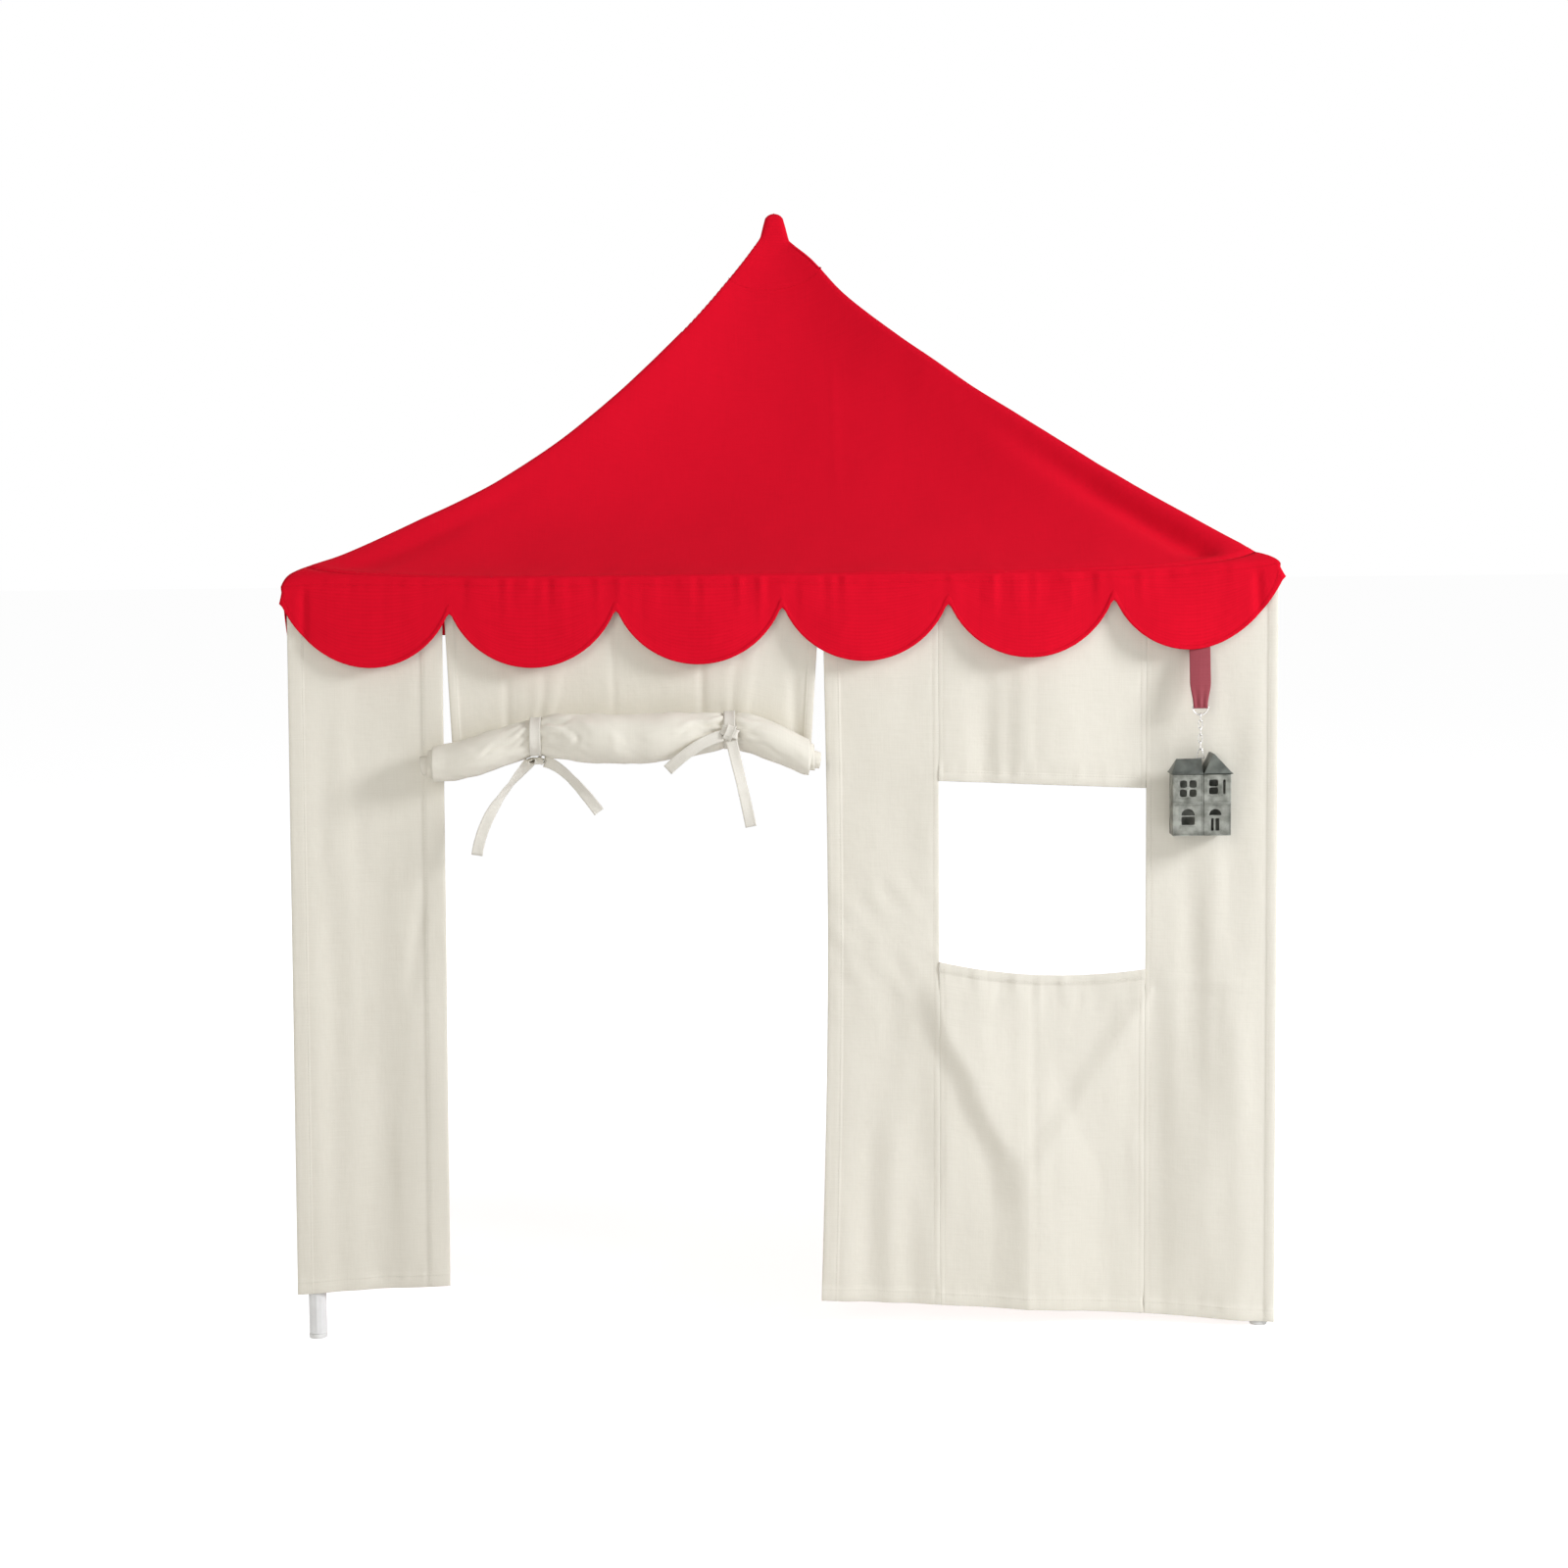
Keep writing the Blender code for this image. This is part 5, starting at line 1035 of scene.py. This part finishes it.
def tail(name, start, heading, length, shares, twists, replaced, seed):
    """A free end of the tape. shares place its curve's points, and twists, in degrees, turn it
    about its own length along the way."""
    across = ROLL_ENDS[1] - ROLL_ENDS[0]
    ends = [start + np.array((across * x, -length * out, -length * low)) for x, out, low in shares]
    t = np.linspace(0, 1, 41)[:, None]
    path = (start + heading) * (1 - t) ** 3 + ends[0] * 3 * t * (1 - t) ** 2
    path = path + ends[1] * 3 * t**2 * (1 - t) + ends[2] * t**3
    steps = np.gradient(path, axis=0)
    flat = np.cross(steps, (0, 1, 0))
    flat = flat / np.linalg.norm(flat, axis=-1, keepdims=True)
    edge = np.cross(flat, steps / np.linalg.norm(steps, axis=-1, keepdims=True))
    turn = np.radians(np.interp(t, np.linspace(0, 1, len(twists)), twists))
    acrosses = flat * np.cos(turn) + edge * np.sin(turn)
    made, gone = tape(name, path, acrosses, [replaced], cup=TAIL_CUP, seed=seed)


knots = {}
for side, place, on_front in (("left", TIE_PLACES[0], False), ("right", TIE_PLACES[1], True)):
    loop, loop_length = tie_band("tie_band_" + side, place, "tie_loop_" + side)
    knots[side] = knot_at(place, on_front)
    knot("knot_" + side, knots[side], (0, 1, 0) if on_front else (0, 0, 1), "tie_knot_" + side)
for side, end, heading, length, shares, twists, seed in TAILS:
    name = f"tail_{side}_{end}"
    tail(name, knots[side], np.array(heading), length, shares, twists, "tie_" + name, seed)


# Ribbon.
# Maroon ribbon that goes round the D-ring's bar, doubled, and is sewn behind the valance. It is
# gathered where it goes through the ring.

PENDANT_X, PENDANT_OUT = 0.502, 0.4112
RING_BAR, RING_WIRE = 0.7695, 0.0009
RIBBON_WIDTH, RIBBON_TIP, RIBBON_CLOTH = 0.025, 0.0165, 0.0005
RIBBON_TOP, RIBBON_TAPER = 0.8639, 0.0305
BEND_R = RING_WIRE + 0.0005 + RIBBON_CLOTH  # the ribbon's turn round the bar
VALANCE_BACK, VALANCE_LIP = 0.0065, 0.925
GATHER, GATHER_AT_BAR, HOLLOW = 0.0007, 0.0003, 0.0006
RIBBON_LOW, RIBBON_GAP = RING_BAR + 0.002, 2 * RIBBON_CLOTH + 0.0004  # between its two layers
MAROON = cloth_material(
    "maroon_ribbon", (0.36, 0.062, 0.080), (0.22, 0.028, 0.042), 0.0006, 0.15, 0.00014, 0.52, 0.25
)


def ribbon_front(height):
    """How far out the ribbon's front is, behind the valance's waves, and how far it has opened."""
    behind = HALF_DEPTH + FRONT_FLARE * (VALANCE_LIP - height) / (CUSP_DROP[0] + SCALLOP_DEPTH) - VALANCE_BACK
    return min(PENDANT_OUT + BEND_R, behind), float(ease(height - RING_BAR, 0.0, RIBBON_TAPER))


ribbon_line = []
for height in np.linspace(RIBBON_TOP, RIBBON_LOW, 70):
    front, opened = ribbon_front(height)
    ribbon_line.append((front, height, opened, 1))
for turn in np.linspace(0, -math.pi, 15):
    across, rise = BEND_R * math.cos(turn), BEND_R * math.sin(turn)
    ribbon_line.append((PENDANT_OUT + across, RING_BAR + rise, 0, math.cos(turn)))
for height in np.linspace(RIBBON_LOW, RIBBON_TOP, 40):
    front, opened = ribbon_front(height)
    ribbon_line.append((front - mix(2 * BEND_R, RIBBON_GAP, opened), height, opened, -1))
ribbon_columns = np.linspace(-1, 1, 33)
gathers = np.cos(ribbon_columns * 7.5 + 0.6)
ribbon_rows = []
for out, height, opened, facing in ribbon_line:
    half = mix(RIBBON_TIP, RIBBON_WIDTH, opened) / 2
    pleat = GATHER_AT_BAR * gathers
    if height > RING_BAR + 0.001:
        pleat = GATHER * gathers * (1 - opened) + HOLLOW * (1 - ribbon_columns**2)
    ribbon_rows.append(on_side("front", PENDANT_X + half * ribbon_columns, out + pleat * facing, height))
ribbon_points = np.array(ribbon_rows)
ribbon = cloth_piece(
    "ribbon_cloth", ribbon_points, cloth_places(ribbon_points),
    MAROON, "tent", "maroon_ribbon", ["ribbon"], RIBBON_CLOTH,
)


# Stitches.
# Lock stitches of sewing thread along the seams and hems, red on the canopy and cream on the
# walls. Each is a short spindle that lies on the cloth.

RED_THREAD = cloth_material(
    "red_thread", (0.66, 0.004, 0.018), (0.40, 0.002, 0.010), 0.0004, 0.2, 0.00008, 0.6, 0.0
)
CREAM_THREAD = cloth_material(
    "cream_thread", (0.80, 0.765, 0.68), (0.55, 0.515, 0.44), 0.0004, 0.2, 0.00008, 0.6, 0.0
)
STITCH, STITCH_PITCH, THREAD_R = 0.0027, 0.0036, 0.00026
PATCH_STITCH_RING, VALANCE_STITCH_ROWS = 19, (4, len(HEM_ROWS) + VALANCE_ROWS - 2)


def along_line(places, gone, values):
    return np.stack([np.interp(places, gone, values[:, axis]) for axis in range(3)], axis=-1)


def unit(vectors):
    return vectors / np.linalg.norm(vectors, axis=-1, keepdims=True)


def stitches(name, lines, material, slot):
    """Stitches along lines. A line is its points and, for each, the way out of the cloth."""
    spindle = np.array([(1, 0, 0), (0, 1, 0), (0, 0, 1), (0, -1, 0), (0, 0, -1), (-1, 0, 0)], float)
    spindle = spindle * (STITCH / 2, THREAD_R, THREAD_R)
    sides = []
    for a, b in ((1, 2), (2, 3), (3, 4), (4, 1)):
        sides += [(0, a, b), (5, b, a)]
    points = []
    for line, outward in lines:
        gone = np.concatenate([[0], np.cumsum(np.linalg.norm(np.diff(line, axis=0), axis=-1))])
        places = np.arange(STITCH_PITCH, gone[-1] - STITCH_PITCH, STITCH_PITCH)
        middle = along_line(places, gone, line)
        ahead = unit(along_line(places + 0.001, gone, line) - middle)
        out = unit(along_line(places, gone, outward + 0 * line))
        along_seam = spindle @ np.stack([ahead, np.cross(ahead, out), out], axis=1)
        points.append((middle + out * THREAD_R * 0.6)[:, None] + along_seam)
    points = np.concatenate(points).reshape(-1, 3)
    first = np.arange(0, len(points), len(spindle))[:, None, None]
    faces = (first + np.array(sides)).reshape(-1, 3)
    place_mesh(name, points, faces, points[:, [0, 2]], material, "tent", slot)


def outward_of(side):
    return np.array((*SIDES[side][1], 0.0))


canopy_lines = []
for ring in (PATCH_STITCH_RING, ROOF_RINGS - 1):
    low, high = ROOF_RINGS - ring, ROOF_RINGS + ring
    row = slice(low, high + 1)
    for line in ((low, row), (high, row), (row, low), (row, high)):
        canopy_lines.append((roof_points[line], roof_normals[line]))
for side, points in valance_grids.items():
    canopy_lines += [(points[row], outward_of(side)) for row in VALANCE_STITCH_ROWS]
stitches("canopy_stitches", canopy_lines, RED_THREAD, "red_cotton")
wall_lines = []
for side, lines in wall_stitches.values():
    wall_lines += [(line, outward_of(side)) for line in lines]
stitches("wall_stitches", wall_lines, CREAM_THREAD, "cream_cotton")


# Tube frame.
# White powder-coated steel tubes in moulded corner blocks and a hub, with a plug under each post and
# a turned pine knob on the king post. The cloth hides it except under the left hem and from behind.

FLANGE, FLANGE_ROUND, PLUG_R, PLUG_ROUND = 0.006, 0.0012, 0.0093, 0.0008


def solid_material(name, light, dark, scale, metallic, roughness, bump, stretch=(1, 1, 1)):
    """A solid surface whose colour and roughness vary softly, with a fine relief."""
    made = bpy.data.materials.new(name)
    made.use_nodes = True
    tree = made.node_tree
    spot = add_node(tree, "TexCoord", {}).outputs["Object"]
    place = add_node(tree, "Mapping", {"Vector": spot, "Scale": stretch}).outputs["Vector"]
    clouds = add_node(tree, "TexNoise", {"Vector": place, "Scale": scale, "Detail": 6.0}).outputs["Fac"]
    grain = add_node(tree, "TexNoise", {"Vector": place, "Scale": scale * 14, "Detail": 2.0}).outputs["Fac"]
    worn = {"Value": clouds, "To Min": roughness + 0.10, "To Max": roughness - 0.06}
    relief = {"Height": grain, "Strength": 0.35, "Distance": bump}
    feed(tree, tree.nodes["Principled BSDF"], {
        "Base Color": mixed_colour(tree, dark, light, clouds, 0.32, 0.68),
        "Metallic": metallic,
        "Roughness": add_node(tree, "MapRange", worn).outputs["Result"],
        "Normal": add_node(tree, "Bump", relief).outputs["Normal"],
    })
    return made


POWDER_COAT = solid_material(
    "powder_coat", (0.84, 0.84, 0.83), (0.78, 0.78, 0.77), 60, 0.0, 0.38, 0.00012
)
WHITE_PLASTIC = solid_material(
    "white_plastic", (0.82, 0.82, 0.80), (0.76, 0.76, 0.74), 90, 0.0, 0.48, 0.00008
)
PINE = solid_material("pine", (0.74, 0.56, 0.35), (0.58, 0.39, 0.21), 220, 0.0, 0.55, 0.0001, (1, 1, 0.15))

CORNERS = ("front_left", "front_right", "rear_left", "rear_right")
tubes = [kind + corner for kind in ("post_", "spoke_") for corner in CORNERS]
tubes += ["rail_" + side for side in SIDES] + ["king_post"]
mouldings = ["corner_block_" + corner for corner in CORNERS] + ["spoke_hub"]
for nodes, material in ((tubes, POWDER_COAT), (mouldings, WHITE_PLASTIC), (["peak_knob"], PINE)):
    for node in nodes:
        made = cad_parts[node]
        made.data.materials.clear()
        made.data.materials.append(material)


def box_of(node):
    """The corners of a solid's box, and its middle."""
    low, high = [Vector(end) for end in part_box(node)]
    return low, high, (low + high) / 2


def apply_place(made):
    bpy.ops.object.select_all(action="DESELECT")
    made.select_set(True)
    bpy.context.view_layer.objects.active = made
    bpy.ops.object.transform_apply(location=True, rotation=True, scale=True)


def finish_solid(made, material, body, replaced, smooth=35):
    """Sets a rigid piece's material and body. Its place is in its mesh."""
    apply_place(made)
    bpy.ops.object.shade_smooth_by_angle(angle=math.radians(smooth))
    made.data.materials.clear()
    made.data.materials.append(material)
    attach(made, body)
    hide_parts(replaced)
    bpy.ops.object.select_all(action="DESELECT")


def bevel_edges(made, width, segments=2):
    rounded = made.modifiers.new("rounded", "BEVEL")
    rounded.width = width
    rounded.segments = segments
    rounded.limit_method = "ANGLE"
    rounded.angle_limit = math.radians(30)
    bpy.context.view_layer.objects.active = made
    bpy.ops.object.modifier_apply(modifier="rounded")


def join_to(made, others):
    bpy.ops.object.select_all(action="DESELECT")
    for other in others:
        other.select_set(True)
    made.select_set(True)
    bpy.context.view_layer.objects.active = made
    bpy.ops.object.join()


def round_bar(radius, low, high, middle):
    """An upright round bar between two heights."""
    place = (middle.x, middle.y, (low + high) / 2)
    bpy.ops.mesh.primitive_cylinder_add(vertices=48, radius=radius, depth=high - low, location=place)
    return bpy.context.object


# A foot: a plug with a rounded flange, pushed into the post.
for corner in CORNERS:
    low, high, middle = box_of("foot_" + corner)
    foot = round_bar((high.x - low.x) / 2, low.z, low.z + FLANGE, middle)
    foot.name = "foot_plug_" + corner
    bevel_edges(foot, FLANGE_ROUND, 3)
    plug = round_bar(PLUG_R, low.z + FLANGE / 2, high.z, middle)
    bevel_edges(plug, PLUG_ROUND)
    join_to(foot, [plug])
    finish_solid(foot, WHITE_PLASTIC, "tent", "foot_" + corner)


# Chain.
# Five welded links of nickel-plated wire hang from the half ring that the ribbon goes through. The
# last one goes through a wire eye on the house.

LINK_R, LINK_WIRE = 0.0024, 0.0007
NICKEL = solid_material("nickel", (0.72, 0.71, 0.69), (0.58, 0.57, 0.55), 300, 1.0, 0.24, 0.00003)
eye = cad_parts["house_eye"]
eye.data.materials.clear()
eye.data.materials.append(NICKEL)


def cut_level(made, place, **keep):
    """Cuts a piece off at a level and closes it."""
    bpy.context.view_layer.objects.active = made
    bpy.ops.object.mode_set(mode="EDIT")
    bpy.ops.mesh.select_all(action="SELECT")
    bpy.ops.mesh.bisect(plane_co=place, plane_no=(0, 0, 1), use_fill=True, **keep)
    bpy.ops.object.mode_set(mode="OBJECT")


def select_points(made, wanted):
    """Selects the points of a mesh for which wanted is true, and goes into edit mode."""
    apply_place(made)
    bpy.ops.object.mode_set(mode="EDIT")
    bpy.ops.mesh.select_all(action="DESELECT")
    bpy.ops.object.mode_set(mode="OBJECT")
    for point in made.data.vertices:
        point.select = wanted(point.co)
    bpy.ops.object.mode_set(mode="EDIT")


for number in range(1, 6):
    low, high, middle = box_of(f"chain_link_{number}")
    turn = 0 if high.x - low.x > high.y - low.y else math.pi / 2
    bpy.ops.mesh.primitive_torus_add(
        major_radius=LINK_R, minor_radius=LINK_WIRE, major_segments=32, minor_segments=12,
        location=middle, rotation=(math.pi / 2, 0, turn),
    )
    link = bpy.context.object
    link.name = f"link_wire_{number}"
    stretch = (high.z - low.z) / 2 - LINK_R - LINK_WIRE
    for way in (1, -1):
        select_points(link, lambda spot: (spot.z - middle.z) * way > 1.1 * LINK_WIRE)
        bpy.ops.transform.translate(value=(0, 0, stretch * way))
        bpy.ops.object.mode_set(mode="OBJECT")
    finish_solid(link, NICKEL, f"link_{number}", f"chain_link_{number}", 60)

low, high, middle = box_of("d_ring")
ring_half, bar = (high.x - low.x) / 2 - RING_WIRE, Vector((middle.x, middle.y, high.z - RING_WIRE))
bpy.ops.mesh.primitive_torus_add(
    major_radius=ring_half, minor_radius=RING_WIRE, major_segments=64, minor_segments=14,
    location=bar, rotation=(math.pi / 2, 0, 0),
)
ring = bpy.context.object
ring.name = "half_ring"
apply_place(ring)
cut_level(ring, bar, clear_outer=True)
bpy.ops.mesh.primitive_cylinder_add(
    vertices=14, radius=RING_WIRE, depth=2 * ring_half, location=bar, rotation=(0, math.pi / 2, 0)
)
pieces = [bpy.context.object]
for way in (-1, 1):
    end = bar + Vector((way * ring_half, 0, 0))
    bpy.ops.mesh.primitive_uv_sphere_add(segments=14, ring_count=10, radius=RING_WIRE, location=end)
    pieces.append(bpy.context.object)
join_to(ring, pieces)
finish_solid(ring, NICKEL, "d_ring", "d_ring", 60)


# Hanging house.
# A small house of grey zinc sheet in two wings, the left one under a hipped roof and the right one
# under a gable. The windows are cut through the sheet, and sills, ledges and corners stand proud.

HOUSE_SHEET, LEDGE_BACK, TRIM_BACK = 0.0010, 0.0012, 0.0004
SHEET_ROUND, TRIM_ROUND, ROOF_ROUND, CAP_ROUND = 0.00022, 0.00025, 0.0003, 0.0002
ROOF_LIP, HIP_LONG, RIDGE_END, CAP_HALF, CAP_TALL = 0.0012, 0.0081, 0.0001, 0.0013, 0.0006
GABLE_PEAK, SILL_TALL, CORNER_STRIP = 0.01188, 0.0011, 0.0016
CUT_FROM, CUT_TO = -0.020, 0.006  # before the front sheet and behind it
ZINC = solid_material("zinc", (0.36, 0.37, 0.33), (0.13, 0.135, 0.115), 85, 0.45, 0.46, 0.00012)
ZINC_ROOF = solid_material("zinc_roof", (0.165, 0.18, 0.16), (0.07, 0.077, 0.068), 60, 0.45, 0.42, 0.00012)

# Middle, lower edge, width, height and corner radius, or middle, lower edge and width of a half round.
LEFT_OPENINGS = (
    (0.0125, 0.047, 0.0088, 0.0090, 0.0026), (0.0125, 0.058, 0.0088, 0.0090, 0.0026),
    (0.0240, 0.047, 0.0088, 0.0090, 0.0026), (0.0240, 0.058, 0.0088, 0.0090, 0.0026),
    (0.01825, 0.013, 0.0160, 0.0100, 0.0014), (0.01825, 0.0245, 0.0160),
)
RIGHT_OPENINGS = (
    (0.0119, 0.0500, 0.0108, 0.0082, 0.0020), (0.0119, 0.0594, 0.0108, 0.0082, 0.0020),
    (0.0248, 0.0500, 0.0030, 0.0176, 0.0012), (0.0140, 0.0245, 0.0150),
    (0.0105, 0.0058, 0.0032, 0.0150, 0.0010), (0.0166, 0.0058, 0.0046, 0.0150, 0.0012),
)
LEFT_SILLS = ((0.01825, 0.0452, 0.0240), (0.01825, 0.0114, 0.0190))  # middle, lower edge, width
RIGHT_SILLS = ((0.0119, 0.0482, 0.0130), (0.0248, 0.0482, 0.0050))


def house_box(name, low, high):
    low, high = Vector(low), Vector(high)
    bpy.ops.mesh.primitive_cube_add(size=1, location=(low + high) / 2)
    made = bpy.context.object
    made.name = name
    made.scale = high - low
    apply_place(made)
    return made


def cut_away(made, cutter):
    cut = made.modifiers.new("cut", "BOOLEAN")
    cut.operation = "DIFFERENCE"
    cut.object = cutter
    bpy.context.view_layer.objects.active = made
    bpy.ops.object.modifier_apply(modifier="cut")
    bpy.data.objects.remove(cutter, do_unlink=True)


def pane_cutter(place, width, height, corner):
    """A block with rounded corners that goes through the front sheet."""
    low, high = Vector((-width / 2, CUT_FROM, 0)), Vector((width / 2, CUT_TO, height))
    made = house_box("cutter", place + low, place + high)
    bevel_edges(made, corner, 3)
    return made


def half_round_cutter(place, width):
    bpy.ops.mesh.primitive_cylinder_add(
        vertices=32, radius=width / 2, depth=CUT_TO - CUT_FROM,
        location=place + Vector((0, (CUT_FROM + CUT_TO) / 2, 0)), rotation=(math.pi / 2, 0, 0),
    )
    made = bpy.context.object
    apply_place(made)
    cut_level(made, place, clear_inner=True)
    return made


def wing_trims(width, height, sills):
    """Strips on a wing's front: from and to, how proud, lower and upper edge."""
    strips = [
        (0.0003, width - 0.0003, 0.0011, 0.0376, 0.0396),
        (0.0001, width - 0.0001, 0.0015, 0.0396, 0.0410),
        (0.0001, width - 0.0001, 0.0011, 0.0, 0.0016),
        (0.0003, width - 0.0003, 0.0007, height - 0.0020, height - 0.0004),
    ]
    for start in (0.0002, width - 0.0002 - CORNER_STRIP):
        strips.append((start, start + CORNER_STRIP, 0.0004, 0.0010, height - 0.0010))
    for middle, low, wide in sills:
        strips.append((middle - wide / 2, middle + wide / 2, 0.0010, low, low + SILL_TALL))
    return strips


def house_wing(node, openings, sills):
    """A box of sheet with windows cut through its front and strips of trim on it. Their places are
    from the wing's left front lower corner."""
    low, high, _ = box_of(node)
    base, sheet = Vector((low.x, low.y + LEDGE_BACK, low.z)), Vector((HOUSE_SHEET,) * 3)
    shell = house_box("sheet_" + node, base, high)
    cut_away(shell, house_box("cutter", base + sheet, high - sheet))
    for x, lower, *sizes in openings:
        cutter = pane_cutter if len(sizes) == 3 else half_round_cutter
        cut_away(shell, cutter(base + Vector((x, 0, lower)), *sizes))
    bevel_edges(shell, SHEET_ROUND)
    strips = []
    for start, end, proud, lower, upper in wing_trims(high.x - low.x, high.z - low.z, sills):
        corners = Vector((start, -proud, lower)), Vector((end, TRIM_BACK, upper))
        strip = house_box("trim", *[base + corner for corner in corners])
        bevel_edges(strip, TRIM_ROUND)
        strips.append(strip)
    join_to(shell, strips)
    finish_solid(shell, ZINC, "house", node)


def roof_block(node, ridge_low, ridge_high):
    """A roof of sheet, a block whose upper face is drawn together to the ridge, and its lip."""
    low, high, middle = box_of(node)
    made = house_box("sheet_" + node, low, high)
    drawn, centre = [], []
    for axis in (0, 1):
        share = (ridge_high[axis] - ridge_low[axis]) / (high[axis] - low[axis])
        drawn.append(share)
        centre.append((ridge_low[axis] - share * low[axis]) / (1 - share) if share != 1 else 0)
    select_points(made, lambda spot: spot.z > middle.z)
    bpy.ops.transform.resize(value=(*drawn, 1), center_override=(*centre, high.z))
    bpy.ops.object.mode_set(mode="OBJECT")
    lip = house_box("lip", low, (high.x, high.y, low.z + ROOF_LIP))
    for piece in (made, lip):
        bevel_edges(piece, ROOF_ROUND)
    return made, lip


house_wing("house_left_wing", LEFT_OPENINGS, LEFT_SILLS)
house_wing("house_right_wing", RIGHT_OPENINGS, RIGHT_SILLS)

low, high, _ = box_of("house_left_roof")
ridge_y = SETBACK - PENDANT_OUT
ridge_left, ridge_right = low.x + HIP_LONG, high.x - RIDGE_END
left_roof, lip = roof_block(
    "house_left_roof", (ridge_left, ridge_y - HOUSE_SHEET), (ridge_right, ridge_y + HOUSE_SHEET)
)
ridge_cap = house_box(
    "ridge_cap", (ridge_left, ridge_y - CAP_HALF, high.z - CAP_TALL),
    (ridge_right, ridge_y + CAP_HALF, high.z),
)
bevel_edges(ridge_cap, CAP_ROUND)
join_to(left_roof, [lip, ridge_cap])
finish_solid(left_roof, ZINC_ROOF, "house", "house_left_roof")

low, high, _ = box_of("house_right_roof")
peak = low.x + GABLE_PEAK
right_roof, lip = roof_block("house_right_roof", (peak - HOUSE_SHEET, low.y), (peak + HOUSE_SHEET, high.y))
join_to(right_roof, [lip])
finish_solid(right_roof, ZINC_ROOF, "house", "house_right_roof")
